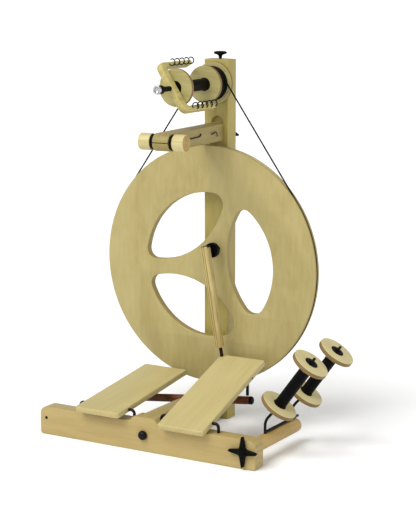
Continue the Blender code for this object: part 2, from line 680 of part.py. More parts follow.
# ---- bobbins ---------------------------------------------------------------
def bobbin(name, front, along):
    """Two flanges on a black core, bored for a spindle."""
    way = Vector(along).normalized()
    hole = 0.0052
    lip = 0.0136
    pieces = []
    flange = [(lip + GAP, 0.0), (FLANGE_RADIUS, 0.0), (FLANGE_RADIUS, -FLANGE_THICKNESS),
              (lip + GAP, -FLANGE_THICKNESS), (lip + GAP, 0.0)]
    front_point = Vector(front)
    length = BOBBIN_PITCH + FLANGE_THICKNESS
    pieces.append(turned(name + "_front_flange", flange, front_point, -way, BIRCH_TURNED, 36))
    pieces.append(turned(name + "_rear_flange", flange, front_point + way * length, way,
                         BIRCH_TURNED, 36))
    inner = FLANGE_THICKNESS + 0.0008
    body = [(hole, -0.0008), (lip, -0.0008), (lip, inner), (CORE_RADIUS, inner),
            (CORE_RADIUS, length - inner), (lip, length - inner), (lip, length + 0.0008),
            (hole, length + 0.0008), (hole, -0.0008)]
    pieces.append(turned(name + "_core", [(r, -h) for r, h in body], front_point, -way,
                         BLACK_PLASTIC, 24))
    return pieces


flyer_bobbin = bobbin("bobbin", (0.0, BOBBIN_FRONT, FLYER_Z), (0, 1, 0))
bobbin_pivot = pivot("bobbin_pivot", (0.0, BOBBIN_FRONT, FLYER_Z))
hang(bobbin_pivot, flyer_bobbin)
hang(flyer_pivot, flyer_pieces + [bobbin_pivot])

# ---- drive band ------------------------------------------------------------
big = WHEEL_RADIUS - GROOVE_DEPTH + BAND_RADIUS + GAP
small = WHORL_RADIUS - 0.0045 + BAND_RADIUS + GAP
reach = FLYER_Z - WHEEL_HEIGHT
rise = math.degrees(math.asin((big - small) / reach))
band_points = []
for x, z in arc((0.0, WHEEL_HEIGHT), big, 180.0 - rise, 360.0 + rise, 73):
    band_points.append((x, BAND_Y, z))
for x, z in arc((0.0, FLYER_Z), small, rise, 180.0 - rise, 13):
    band_points.append((x, BAND_Y, z))
drive_band = wire("drive_band", band_points, BAND_RADIUS, BAND_BLACK, 1, cyclic=True)

# ---- tension arm and its peg -----------------------------------------------
swing = math.radians(ARM_SWING)
arm_turn = Matrix.Rotation(swing, 3, "Z")
arm_way = Vector((math.cos(swing), math.sin(swing), 0.0))


def on_arm(across, ahead, up=0.0):
    """Point on the swung arm: to its right, ahead of the post, above its middle."""
    return Vector((0.0, POST_FRONT, ARM_Z + up)) + arm_turn @ Vector((across, -ahead, 0.0))


arm = board("tension_arm",
            arc((-ARM_LENGTH, 0.0), ARM_WIDTH / 2, 90.0, 270.0, 15) +
            [(0.004, -ARM_WIDTH / 2), (0.004, ARM_WIDTH / 2)],
            ARM_WIDTH, PALE_WOOD)
paint(arm, PALE_WOOD)
arm_frame = Matrix(((0.0, 0.0, 1.0, 0.0), (1.0, 0.0, 0.0, 0.0),
                    (0.0, 1.0, 0.0, 0.0), (0.0, 0.0, 0.0, 1.0)))
arm.matrix_world = (Matrix.Translation((0.0, POST_FRONT, ARM_Z)) @
                    Matrix.Rotation(swing, 4, "Z") @ arm_frame)
bore(arm, PEG_NECK + 0.00009, on_arm(-0.03, ARM_LENGTH), on_arm(0.03, ARM_LENGTH), 36)
saw_cut = box("arm_saw_cut", (0.060, 0.070, 0.0016), on_arm(0.0, ARM_LENGTH - 0.008))
saw_cut.rotation_euler = (0.0, 0.0, swing)
boolean(arm, saw_cut)
boolean(arm, box("arm_end_cut", (0.080, 0.020, 0.080), (0.0, POST_FRONT - GAP + 0.010, ARM_Z)))
bore(arm, 0.0043, (0.0, POST_FRONT - 0.045, ARM_Z), (0.0, POST_FRONT + 0.01, ARM_Z))

neck = ARM_WIDTH / 2 + 0.0007
peg_at = on_arm(0.0, ARM_LENGTH)
peg = turned("tension_peg",
             [(0.0, PEG_HALF), (PEG_RADIUS - 0.001, PEG_HALF), (PEG_RADIUS, PEG_HALF - 0.001),
              (PEG_RADIUS, neck + 0.0065), (PEG_NECK, neck + 0.0065), (PEG_NECK, -neck - 0.0065),
              (PEG_RADIUS, -neck - 0.0065), (PEG_RADIUS, 0.001 - PEG_HALF),
              (PEG_RADIUS - 0.001, -PEG_HALF), (0.0, -PEG_HALF)],
             peg_at, arm_way, PALE_WOOD, 28)
rings = []
for side, sign in (("right", 1.0), ("left", -1.0)):
    ring = turned("peg_ring_" + side,
                  [(PEG_NECK + GAP, 0.0030), (PEG_RADIUS - 0.0012, 0.0030),
                   (PEG_RADIUS - 0.0012, -0.0030), (PEG_NECK + GAP, -0.0030),
                   (PEG_NECK + GAP, 0.0030)],
                  peg_at + arm_way * sign * (neck + 0.0033), arm_way, BLACK_PLASTIC, 24)
    rings.append(ring)
peg_pivot = pivot("peg_pivot", peg_at)
hang(peg_pivot, [peg] + rings)

hook_side = ARM_WIDTH / 2 + 0.0016
threading_hook = wire("threading_hook",
                      [on_arm(hook_side, 0.1760, 0.0000), on_arm(hook_side, 0.1480, 0.0004),
                       on_arm(hook_side, 0.1130, 0.0010), on_arm(hook_side, 0.1075, 0.0020),
                       on_arm(hook_side, 0.1050, 0.0042), on_arm(hook_side, 0.1054, 0.0062)],
                      0.0013, BLACK_WIRE, 2)
keeper_points = [on_arm(0.0120, 0.0560, 0.0014), on_arm(hook_side + 0.0012, 0.0560, 0.0014)]
for ahead, up in arc((0.0450, -0.0028), 0.0075, 65.0, 195.0, 7):
    keeper_points.append(on_arm(hook_side + 0.0024, ahead, up))
keeper = wire("arm_keeper", keeper_points, 0.0011, BLACK_WIRE, 2)
bore(arm, 0.0014, on_arm(0.0112, 0.0560, 0.0014), on_arm(0.0300, 0.0560, 0.0014), 12)


def star_knob(name, points, tip, body, thickness, place, along, turn, rod_length, rod_radius):
    """A star knob with its threaded rod, as one piece."""
    outline = []
    for number in range(points * 2):
        angle = math.radians(turn + 180.0 * number / points)
        radius = tip if number % 2 == 0 else body
        outline.append((radius * math.cos(angle), radius * math.sin(angle),
                        0.0024 if number % 2 == 0 else 0.0040))
    star = board(name, rounded(outline, 4), thickness, BLACK_PLASTIC)
    paint(star, BLACK_PLASTIC)
    way = Vector(along).normalized()
    star.rotation_mode = "QUATERNION"
    star.rotation_quaternion = Vector((0, 0, 1)).rotation_difference(way)
    star.location = place
    middle = Vector(place)
    boss = turned(name + "_boss", [(0.0, thickness / 2 + 0.005), (0.0075, thickness / 2 + 0.004),
                                   (0.0095, 0.0), (0.0095, -0.001), (0.0, -0.001)],
                  middle, way, None, 28)
    stem = rod(name + "_stem", rod_radius, rod_length, middle - way * (rod_length / 2), way,
               None, 0.0, 20)
    boolean(star, boss, "UNION")
    boolean(star, stem, "UNION")
    return star


arm_knob = star_knob("arm_knob", 5, 0.0420, 0.011, 0.007,
                     (0.0, POST_FRONT + POST_DEPTH + 0.0075, ARM_Z), (0, 1, 0), 18.0, 0.081, 0.0040)
arm_knob_pivot = pivot("arm_knob_pivot", (0.0, POST_FRONT + POST_DEPTH, ARM_Z))
hang(arm_knob_pivot, [arm_knob])

top_knob = turned("top_knob",
                  [(0.0, 0.0175), (0.0085, 0.0172), (0.0118, 0.0160), (0.0125, 0.0142),
                   (0.0118, 0.0118), (0.0060, 0.0096), (0.0032, 0.0080), (0.0032, 0.0010),
                   (0.0032, -0.0190), (0.0, -0.0190)],
                  (0.0, POST_FRONT + 0.017, POST_HEIGHT), (0, 0, 1), BLACK_PLASTIC, 32)
top_knob_pivot = pivot("top_knob_pivot", (0.0, POST_FRONT + 0.017, POST_HEIGHT))
hang(top_knob_pivot, [top_knob])

# ---- bobbin rack -----------------------------------------------------------
rack_start = BEAM_DEPTH / 2 + GAP
rack_length = RACK_END - rack_start
rack = turned("rack_dowel",
              [(0.0, rack_length), (RACK_RADIUS - 0.0055, rack_length),
               (RACK_RADIUS - 0.0016, rack_length - 0.0016), (RACK_RADIUS, rack_length - 0.0055),
               (RACK_RADIUS, 0.0), (0.0, 0.0)],
              (RACK_X, rack_start, RACK_Z), (0, 1, 0), PALE_WOOD, 36)
bore(rack, 0.0043, (RACK_X, rack_start - 0.01, RACK_Z), (RACK_X, rack_start + 0.0320, RACK_Z))
rack_knob = star_knob("rack_knob", 4, 0.0425, 0.0090, 0.008,
                      (RACK_X, -BEAM_DEPTH / 2 - 0.0055, RACK_Z), (0, -1, 0), 90.0, 0.0700, 0.0040)

rise_angle = math.radians(SPINDLE_RISE)
turn_angle = math.radians(SPINDLE_TURN)
spindle_way = Vector((math.cos(rise_angle) * math.cos(turn_angle),
                      math.cos(rise_angle) * math.sin(turn_angle), math.sin(rise_angle)))
top_line = RACK_Z + RACK_RADIUS + SPINDLE_RADIUS + GAP
spindle_length = RACK_FLANGE_AT + BOBBIN_PITCH + FLANGE_THICKNESS + SPINDLE_PAST


def spindle_points(foot_y):
    """A foot in the dowel, a short upright, then the long sloping spindle."""
    bend = Vector((RACK_X, foot_y, SPINDLE_BEND_Z))
    below = bend - Vector((0.0, 0.0, 0.009))
    beyond = bend + spindle_way * 0.009
    points = [Vector((RACK_X, foot_y, RACK_Z + 0.004))]
    for step in range(5):
        share = step / 4
        points.append(below.lerp(bend, share).lerp(bend.lerp(beyond, share), share))
    points.append(bend + spindle_way * spindle_length)
    return points


rack_wire = to_mesh(wire("rack_wire", spindle_points(SPINDLE_FOOT), SPINDLE_RADIUS, BLACK_WIRE, 3))
paint(rack_wire, BLACK_WIRE)
second = to_mesh(wire("rack_wire_second", spindle_points(SPINDLE_FOOT + SPINDLE_PITCH),
                      SPINDLE_RADIUS, BLACK_WIRE, 3))
rail = rod("rack_wire_rail", SPINDLE_RADIUS, 0.140,
           (RACK_X, SPINDLE_FOOT + 0.0690, top_line), (0, 1, 0), None, 0.0012, 20)
for extra in (second, rail):
    for home in list(extra.users_collection):
        home.objects.unlink(extra)
    cutters.objects.link(extra)
    extra.hide_render = True
    extra.display_type = "WIRE"
    boolean(rack_wire, extra, "UNION")
for foot in (SPINDLE_FOOT, SPINDLE_FOOT + SPINDLE_PITCH):
    bore(rack, SPINDLE_RADIUS + GAP, (RACK_X, foot, RACK_Z + 0.003), (RACK_X, foot, RACK_Z + 0.03), 16)

rack_pivot = pivot("rack_pivot", (RACK_X, 0.0, RACK_Z))
rack_pieces = [rack, rack_knob, rack_wire]
for number in range(2):
    bend = Vector((RACK_X, SPINDLE_FOOT + SPINDLE_PITCH * number, SPINDLE_BEND_Z))
    start = bend + spindle_way * RACK_FLANGE_AT
    spare = bobbin("spare_bobbin_%d" % (number + 1), start, spindle_way)
    spare_pivot = pivot("spare_bobbin_%d_pivot" % (number + 1), start)
    hang(spare_pivot, spare)
    rack_pieces.append(spare_pivot)
hang(rack_pivot, rack_pieces)

for obj in parts.objects:
    if obj.type == "MESH":
        smooth(obj)
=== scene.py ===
import json
import math

import bmesh
import bpy
from mathutils import Matrix, Vector


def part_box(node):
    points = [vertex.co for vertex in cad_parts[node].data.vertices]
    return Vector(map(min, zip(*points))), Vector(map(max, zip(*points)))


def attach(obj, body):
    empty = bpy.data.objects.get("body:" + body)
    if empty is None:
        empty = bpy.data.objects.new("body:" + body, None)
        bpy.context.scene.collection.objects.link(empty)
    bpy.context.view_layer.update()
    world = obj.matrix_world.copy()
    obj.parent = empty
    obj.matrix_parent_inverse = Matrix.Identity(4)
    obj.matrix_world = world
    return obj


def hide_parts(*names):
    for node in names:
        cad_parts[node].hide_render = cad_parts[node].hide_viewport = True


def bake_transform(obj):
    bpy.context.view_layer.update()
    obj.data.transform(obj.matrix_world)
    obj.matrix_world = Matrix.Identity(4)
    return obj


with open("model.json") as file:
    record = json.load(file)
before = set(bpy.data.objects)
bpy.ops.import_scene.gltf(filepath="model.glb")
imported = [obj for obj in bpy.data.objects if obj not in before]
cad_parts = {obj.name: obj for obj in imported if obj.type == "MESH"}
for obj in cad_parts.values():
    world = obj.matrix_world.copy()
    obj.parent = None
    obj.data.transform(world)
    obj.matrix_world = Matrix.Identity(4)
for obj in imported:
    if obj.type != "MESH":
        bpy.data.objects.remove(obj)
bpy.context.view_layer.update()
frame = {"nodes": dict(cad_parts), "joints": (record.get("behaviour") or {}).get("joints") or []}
joints = {joint["name"]: joint for joint in frame["joints"]}
MM = 0.001
SIDES = (("right", 1.0), ("left", -1.0))


# ---- where things are ------------------------------------------------------
def middle(node):
    """Centre of a node's box."""
    low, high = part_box(node)
    return (low + high) / 2


def span(node):
    """Size of a node's box along each axis."""
    low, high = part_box(node)
    return high - low


def pin_of(joint):
    """Point and direction of a joint's axis."""
    return Vector(joints[joint]["pos_m"]), Vector(joints[joint]["axis"]).normalized()


def facing(place, along):
    """Matrix that stands local Z along a direction, at a place."""
    turn = Vector((0, 0, 1)).rotation_difference(Vector(along)).to_matrix().to_4x4()
    return Matrix.Translation(place) @ turn


# ---- materials -------------------------------------------------------------
def tint(code):
    """sRGB hex to linear colour."""
    channels = []
    for start in (0, 2, 4):
        value = int(code[start:start + 2], 16) / 255
        channels.append(value / 12.92 if value <= 0.04045 else ((value + 0.055) / 1.055) ** 2.4)
    return (*channels, 1.0)


def add_node(tree, kind, values=None, links=None, stops=(), **settings):
    """Add a node: its properties, inputs, links to it, and colour stops."""
    made = tree.nodes.new("ShaderNode" + kind)
    for name, value in settings.items():
        setattr(made, name, value)
    for name, value in (values or {}).items():
        made.inputs[name].default_value = value
    join(tree, made, links or {})
    if stops:
        points = made.color_ramp.elements
        while len(points) < len(stops):
            points.new(0.5)
        for point, (place, code) in zip(points, stops):
            point.position = place
            point.color = tint(code)
    return made


def join(tree, node, links):
    """Link a socket to each named input of a node."""
    for name, socket in links.items():
        tree.links.new(socket, node.inputs[name])


def new_finish(name, roughness, metallic=0.0, coat=0.0, specular=0.5):
    """A Principled material with its constant sockets set."""
    finish = bpy.data.materials.new(name)
    finish.use_nodes = True
    shader = finish.node_tree.nodes["Principled BSDF"]
    shader.inputs["Roughness"].default_value = roughness
    shader.inputs["Metallic"].default_value = metallic
    shader.inputs["Specular IOR Level"].default_value = specular
    if coat > 0.0:
        shader.inputs["Coat Weight"].default_value = coat
        shader.inputs["Coat Roughness"].default_value = 0.28
    return finish, finish.node_tree, shader


def lacquered_wood(name, pale, middle_tone, deep, along, figure, streak, fleck,
                   roughness=0.42, coat=0.06, drawn=9.0):
    """Planed pale wood under satin lacquer: the eye gets long soft growth
    bands, fine pores drawn out along the grain, and a low even gloss.
    along is the grain's local axis; figure and streak are widths in mm, drawn
    is how many times longer than wide the figure is.  Real beech pores are
    about 0.1 mm wide; they are drawn ten or more times coarser, so that they
    show."""
    finish, tree, shader = new_finish(name, roughness, coat=coat, specular=0.35)
    where = add_node(tree, "TexCoord")

    def stretched(width, length):
        scale = [1.0 / (width * MM)] * 3
        scale[along] = 1.0 / (length * MM)
        return add_node(tree, "Mapping", {"Scale": scale},
                        {"Vector": where.outputs["Object"]})

    bands = add_node(tree, "TexNoise",
                     {"Scale": 1.0, "Detail": 3.0, "Roughness": 0.55, "Distortion": 0.6},
                     {"Vector": stretched(figure, figure * drawn).outputs["Vector"]})
    pores = add_node(tree, "TexNoise", {"Scale": 1.0, "Detail": 2.0, "Roughness": 0.6},
                     {"Vector": stretched(streak, streak * drawn * 2.9).outputs["Vector"]})
    flecks = add_node(tree, "TexNoise", {"Scale": 1.0, "Detail": 1.0},
                      {"Vector": stretched(0.9, 7.0).outputs["Vector"]})
    share = add_node(tree, "Math", {1: 0.62}, {0: bands.outputs["Fac"]},
                     operation="MULTIPLY")
    summed = add_node(tree, "Math", {1: 0.38},
                      {0: pores.outputs["Fac"], 2: share.outputs["Value"]},
                      operation="MULTIPLY_ADD")
    colour = add_node(tree, "ValToRGB", links={"Fac": summed.outputs["Value"]},
                      stops=[(0.34, deep), (0.50, middle_tone), (0.66, pale)])
    dots = add_node(tree, "MapRange", {"From Min": 0.60, "From Max": 0.76, "To Max": fleck},
                    {"Value": flecks.outputs["Fac"]})
    # The mix node's colour sockets are 6 and 7 in, 2 out; 0 is its factor.
    dotted = add_node(tree, "Mix", {7: tint(deep)},
                      {0: dots.outputs["Result"], 6: colour.outputs["Color"]}, data_type="RGBA")
    gloss = add_node(tree, "MapRange",
                     {"From Min": 0.3, "From Max": 0.7, "To Min": roughness - 0.05,
                      "To Max": roughness + 0.08}, {"Value": pores.outputs["Fac"]})
    relief = add_node(tree, "Bump", {"Strength": 0.12, "Distance": 0.0003},
                      {"Height": pores.outputs["Fac"]})
    join(tree, shader, {"Base Color": dotted.outputs[2], "Roughness": gloss.outputs["Result"],
                        "Normal": relief.outputs["Normal"]})
    return finish


def cut_ply(name, light_ply, dark_ply, deep, across, ply):
    """Sawn and sanded plywood edge: the eye gets thin layers, every second one
    end grain and darker, and no gloss.  across is the local axis through the
    layers, ply their thickness in mm."""
    finish, tree, shader = new_finish(name, 0.55)
    where = add_node(tree, "TexCoord")
    layers = add_node(tree, "TexWave",
                      {"Scale": 1.0 / (2.0 * ply * MM) / 10.0 * math.pi, "Distortion": 0.25,
                       "Detail": 1.0, "Detail Scale": 3.0},
                      {"Vector": where.outputs["Object"]},
                      wave_type="BANDS", bands_direction="XYZ"[across], wave_profile="SIN")
    speckle = add_node(tree, "TexNoise", {"Scale": 260.0, "Detail": 2.0},
                       {"Vector": where.outputs["Object"]})
    level = add_node(tree, "Math", {1: 0.45},
                     {0: speckle.outputs["Fac"], 2: layers.outputs["Fac"]},
                     operation="MULTIPLY_ADD")
    colour = add_node(tree, "ValToRGB", links={"Fac": level.outputs["Value"]},
                      stops=[(0.25, deep), (0.55, dark_ply), (0.85, light_ply)])
    relief = add_node(tree, "Bump", {"Strength": 0.25, "Distance": 0.0003},
                      {"Height": level.outputs["Value"]})
    join(tree, shader, {"Base Color": colour.outputs["Color"], "Normal": relief.outputs["Normal"]})
    return finish


def end_grain(name, light, dark):
    """Crosscut end of a bar, sealed with lacquer: the eye gets a darker, duller
    face in fine rings."""
    finish, tree, shader = new_finish(name, 0.58)
    where = add_node(tree, "TexCoord")
    rings = add_node(tree, "TexWave",
                     {"Scale": 26.0, "Distortion": 3.0, "Detail": 2.0, "Detail Scale": 12.0},
                     {"Vector": where.outputs["Object"]}, wave_type="RINGS", rings_direction="X")
    pores = add_node(tree, "TexNoise", {"Scale": 900.0, "Detail": 1.0},
                     {"Vector": where.outputs["Object"]})
    level = add_node(tree, "Math", {1: 0.5},
                     {0: pores.outputs["Fac"], 2: rings.outputs["Fac"]}, operation="MULTIPLY_ADD")
    colour = add_node(tree, "ValToRGB", links={"Fac": level.outputs["Value"]},
                      stops=[(0.2, dark), (1.0, light)])
    join(tree, shader, {"Base Color": colour.outputs["Color"]})
    return finish


def moulded(name, deep, raised, roughness, grain=0.35):
    """Moulded plastic or rubber from a spark-eroded mould: the eye gets one
    deep colour and a fine grain that breaks up the highlight.  grain in mm."""
    finish, tree, shader = new_finish(name, roughness, specular=0.07)
    where = add_node(tree, "TexCoord")
    texture = add_node(tree, "TexNoise", {"Scale": 1.0 / (grain * MM), "Detail": 2.0},
                       {"Vector": where.outputs["Object"]})
    cloud = add_node(tree, "TexNoise", {"Scale": 60.0, "Detail": 2.0},
                     {"Vector": where.outputs["Object"]})
    colour = add_node(tree, "ValToRGB", links={"Fac": cloud.outputs["Fac"]},
                      stops=[(0.35, deep), (0.70, raised)])
    uneven = add_node(tree, "MapRange",
                      {"From Min": 0.3, "From Max": 0.7, "To Min": roughness - 0.06,
                       "To Max": roughness + 0.08}, {"Value": texture.outputs["Fac"]})
    relief = add_node(tree, "Bump", {"Strength": 0.20, "Distance": 0.0002},
                      {"Height": texture.outputs["Fac"]})
    join(tree, shader, {"Base Color": colour.outputs["Color"],
                        "Roughness": uneven.outputs["Result"],
                        "Normal": relief.outputs["Normal"]})
    return finish


def blackened_steel(name):
    """Drawn steel wire under black oxide and oil: the eye gets near black, a
    soft metal glint, and thinner black where it was bent and handled."""
    finish, tree, shader = new_finish(name, 0.36, metallic=0.15, specular=0.18)
    where = add_node(tree, "TexCoord")
    wear = add_node(tree, "TexNoise", {"Scale": 140.0, "Detail": 4.0},
                    {"Vector": where.outputs["Object"]})
    colour = add_node(tree, "ValToRGB", links={"Fac": wear.outputs["Fac"]},
                      stops=[(0.45, "050504"), (0.75, "12100E")])
    uneven = add_node(tree, "MapRange", {"To Min": 0.28, "To Max": 0.50},
                      {"Value": wear.outputs["Fac"]})
    join(tree, shader, {"Base Color": colour.outputs["Color"],
                        "Roughness": uneven.outputs["Result"]})
    return finish


def bright_plate(name):
    """Nickel-plated steel, turned and polished: the eye gets bright grey, with
    patches where the polish is thinner."""
    finish, tree, shader = new_finish(name, 0.22, metallic=1.0)
    where = add_node(tree, "TexCoord")
    polish = add_node(tree, "TexNoise", {"Scale": 420.0, "Detail": 2.0},
                      {"Vector": where.outputs["Object"]})
    colour = add_node(tree, "ValToRGB", links={"Fac": polish.outputs["Fac"]},
                      stops=[(0.3, "AEB0B2"), (0.7, "CDCDCB")])
    uneven = add_node(tree, "MapRange", {"To Min": 0.14, "To Max": 0.32},
                      {"Value": polish.outputs["Fac"]})
    join(tree, shader, {"Base Color": colour.outputs["Color"],
                        "Roughness": uneven.outputs["Result"]})
    return finish


X, Y, Z = 0, 1, 2

# Solid beech, planed, under satin lacquer: pale, nearly plain, a low gloss.
beech_x = lacquered_wood("beech_beam", "A7945F", "A28E5A", "9C8652", X, 18.0, 1.8, 0.20)
beech_y = lacquered_wood("beech_leg", "A0905D", "9B8A57", "92804E", Y, 14.0, 2.0, 0.20)
beech_z = lacquered_wood("beech_post", "A39552", "9D8F4D", "948545", Z, 12.0, 1.6, 0.15,
                         roughness=0.46, coat=0.0)
# The arm's beech is a darker copy of the other beech: painted shade.
shaded_arm_wood = lacquered_wood("beech_arm_painted_shade", "948650", "8D7E49", "837340", X, 12.0, 1.8, 0.20,
                          roughness=0.46, coat=0.0)
peg_wood = lacquered_wood("beech_peg", "C5B885", "BBAE79", "ADA069", Z, 9.0, 1.4, 0.30)
rod_wood = lacquered_wood("beech_rod", "BBAA74", "AC9A62", "94824A", Z, 5.0, 1.2, 0.30)
dowel_wood = lacquered_wood("beech_rack_dowel", "B0955A", "A68B50", "987D43", Z, 8.0, 1.3, 0.25)
treadle_wood = lacquered_wood("beech_treadle_board", "B5A874", "B1A370", "AA9C68", Y, 22.0, 2.6,
                              0.10)
# The same beech under a brown stain: dark red-brown, its figure showing more.
dark_dowel = lacquered_wood("dark_stained_dowel", "7C4622", "5E3114", "40200A", X, 5.0, 1.1, 0.4)
# Rotary-cut birch veneer under lacquer: wide soft clouds instead of streaks.
wheel_face = lacquered_wood("birch_ply_face", "A79966", "A0925D", "968853", Z, 70.0, 9.0, 0.04,
                            roughness=0.44, coat=0.12, drawn=1.7)
flyer_wood = lacquered_wood("birch_flyer_board", "BAAD70", "AEA163", "9A8D50", Y, 8.0, 1.4, 0.20)
# Birch ply flange faces as two copies of one material: a darker one for the flyer bobbin and rear
# disc, which is painted shade, and a lighter one for the spare bobbins on the rack, which is
# painted light.
shaded_flange_face = lacquered_wood("birch_ply_flange_face_painted_shade", "A79D68", "9D935E", "918652", X, 12.0, 1.6,
                             0.15)
lit_flange_face = lacquered_wood("birch_ply_flange_face_painted_light", "C2B788", "BAAE7D", "AE9F6B", X, 12.0,
                            1.6, 0.15)
# Sawn or turned ply edges and crosscut ends: darker and duller than the faces.
wheel_edge = cut_ply("birch_ply_edge", "A08E54", "8C783F", "6E5A29", Y, 1.5)
flange_edge = cut_ply("flange_ply_edge", "8A6E38", "684C20", "3C280E", Z, 1.4)
beam_end = end_grain("beech_beam_end", "A28F5C", "96814C")
treadle_end = end_grain("beech_treadle_end", "AD9E69", "A0915C")
peg_end = end_grain("beech_peg_end", "AC904F", "92743A")
bar_end = end_grain("beech_post_end", "9C8A51", "8A7842")
# Black fittings: moulded nylon, elastic cord, rubber, oiled wire; one plated ring.
nylon = moulded("black_moulded_nylon", "010101", "040404", 0.46)
band_rubber = moulded("black_stretch_cord", "040404", "080807", 0.66, 0.5)
joint_rubber = moulded("brown_joint_rubber", "220D06", "2E150B", 0.62, 0.5)
black_wire = blackened_steel("blackened_wire")
bright_steel = bright_plate("bright_plated_steel")


# ---- making pieces ---------------------------------------------------------
def show(name, mesh, body, finishes, nodes=(), place=None, sharp=32.0):
    """Put a finished mesh in the scene as a piece that rides on a body."""
    piece = bpy.data.objects.new(name, mesh)
    bpy.context.scene.collection.objects.link(piece)
    for finish in finishes:
        mesh.materials.append(finish)
    mesh.shade_smooth()
    mesh.set_sharp_from_angle(angle=math.radians(sharp))
    if place is not None:
        piece.matrix_world = place
    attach(piece, body)
    if nodes:
        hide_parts(*nodes)
    return piece


def settled(thing):
    """The object's mesh with its modifiers applied; the object is removed."""
    bpy.context.view_layer.update()
    graph = bpy.context.evaluated_depsgraph_get()
    mesh = bpy.data.meshes.new_from_object(thing.evaluated_get(graph))
    shape = bmesh.new()
    shape.from_mesh(mesh)
    bmesh.ops.remove_doubles(shape, verts=shape.verts, dist=0.000005)
    shape.to_mesh(mesh)
    shape.free()
    bpy.data.objects.remove(thing, do_unlink=True)
    return mesh


def loose(mesh):
    """A mesh as a plain object, to cut with or to cut."""
    thing = bpy.data.objects.new("work", mesh)
    bpy.context.scene.collection.objects.link(thing)
    return thing


def shaped(mesh, cuts=(), ease=0.0, steps=2, angle=40.0):
    """Cut a mesh with others, then ease its edges."""
    thing = loose(mesh)
    tools = []
    for cut in cuts:
        tool = loose(cut)
        tools.append(tool)
        change = thing.modifiers.new("cut", "BOOLEAN")
        change.operation = "DIFFERENCE"
        change.solver = "EXACT"
        change.object = tool
    if ease > 0.0:
        edge = thing.modifiers.new("ease", "BEVEL")
        edge.width = ease
        edge.segments = steps
        edge.limit_method = "ANGLE"
        edge.angle_limit = math.radians(angle)
        edge.use_clamp_overlap = True
    result = settled(thing)
    for tool in tools:
        bpy.data.objects.remove(tool, do_unlink=True)
    return result


def block(low, high):
    """A box mesh from corner to corner."""
    mesh = bpy.data.meshes.new("block")
    shape = bmesh.new()
    bmesh.ops.create_cube(shape, size=1.0)
    size = Vector(high) - Vector(low)
    bmesh.ops.scale(shape, vec=size, verts=shape.verts)
    bmesh.ops.translate(shape, vec=(Vector(low) + Vector(high)) / 2, verts=shape.verts)
    shape.to_mesh(mesh)
    shape.free()
    return mesh


def eased(profile, radius, steps=3):
    """Round the inner corners of an open (radius, height) profile."""
    points = [profile[0]]
    for index in range(1, len(profile) - 1):
        here = Vector(profile[index])
        before = Vector(profile[index - 1]) - here
        after = Vector(profile[index + 1]) - here
        if before.length < 1e-7 or after.length < 1e-7:
            points.append(profile[index])
            continue
        reach = min(radius, before.length * 0.45, after.length * 0.45)
        start = here + before.normalized() * reach
        end = here + after.normalized() * reach
        for step in range(steps + 1):
            share = step / steps
            first = start.lerp(here, share)
            second = here.lerp(end, share)
            point = first.lerp(second, share)
            points.append((point.x, point.y))
    points.append(profile[-1])
    return points


def lathed(profile, steps=64):
    """Turn a (radius, height) profile, top to bottom, about local Z."""
    mesh = bpy.data.meshes.new("lathed")
    shape = bmesh.new()
    closed = Vector(profile[0]) - Vector(profile[-1])
    loop = closed.length < 1e-9
    points = profile[:-1] if loop else profile
    verts = [shape.verts.new((r, 0.0, h)) for r, h in points]
    edges = [shape.edges.new(pair) for pair in zip(verts, verts[1:])]
    if loop:
        edges.append(shape.edges.new((verts[-1], verts[0])))
    bmesh.ops.spin(shape, geom=verts + edges, axis=(0, 0, 1), cent=(0, 0, 0),
                   angle=2 * math.pi, steps=steps, use_merge=True, use_normal_flip=False)
    bmesh.ops.remove_doubles(shape, verts=shape.verts, dist=0.000002)
    bmesh.ops.recalc_face_normals(shape, faces=shape.faces)
    shape.to_mesh(mesh)
    shape.free()
    return mesh


def slab(outline, thickness, holes=(), ease=0.0, ease_steps=3):
    """A flat board in local XY with holes, its edges eased all round."""
    curve = bpy.data.curves.new("slab", "CURVE")
    curve.dimensions = "2D"
    curve.fill_mode = "BOTH"
    curve.extrude = thickness / 2 - ease
    curve.bevel_depth = ease
    curve.bevel_resolution = ease_steps - 1
    curve.offset = -ease
    for line in (outline, *holes):
        spline = curve.splines.new("POLY")
        spline.points.add(len(line) - 1)
        for slot_point, point in zip(spline.points, line):
            slot_point.co = (point[0], point[1], 0.0, 1.0)
        spline.use_cyclic_u = True
    thing = bpy.data.objects.new("slab", curve)
    bpy.context.scene.collection.objects.link(thing)
    return settled(thing)


def smooth_path(points, each=6):
    """A rounder path through the same points (Catmull-Rom)."""
    ends = [points[0]] + list(points) + [points[-1]]
    path = []
    for index in range(1, len(ends) - 2):
        p0, p1, p2, p3 = (Vector(ends[index + step]) for step in (-1, 0, 1, 2))
        for step in range(each):
            t = step / each
            path.append(0.5 * ((2 * p1) + (p2 - p0) * t + (2 * p0 - 5 * p1 + 4 * p2 - p3) * t * t
                               + (3 * p1 - p0 - 3 * p2 + p3) * t * t * t))
    path.append(Vector(points[-1]))
    return path


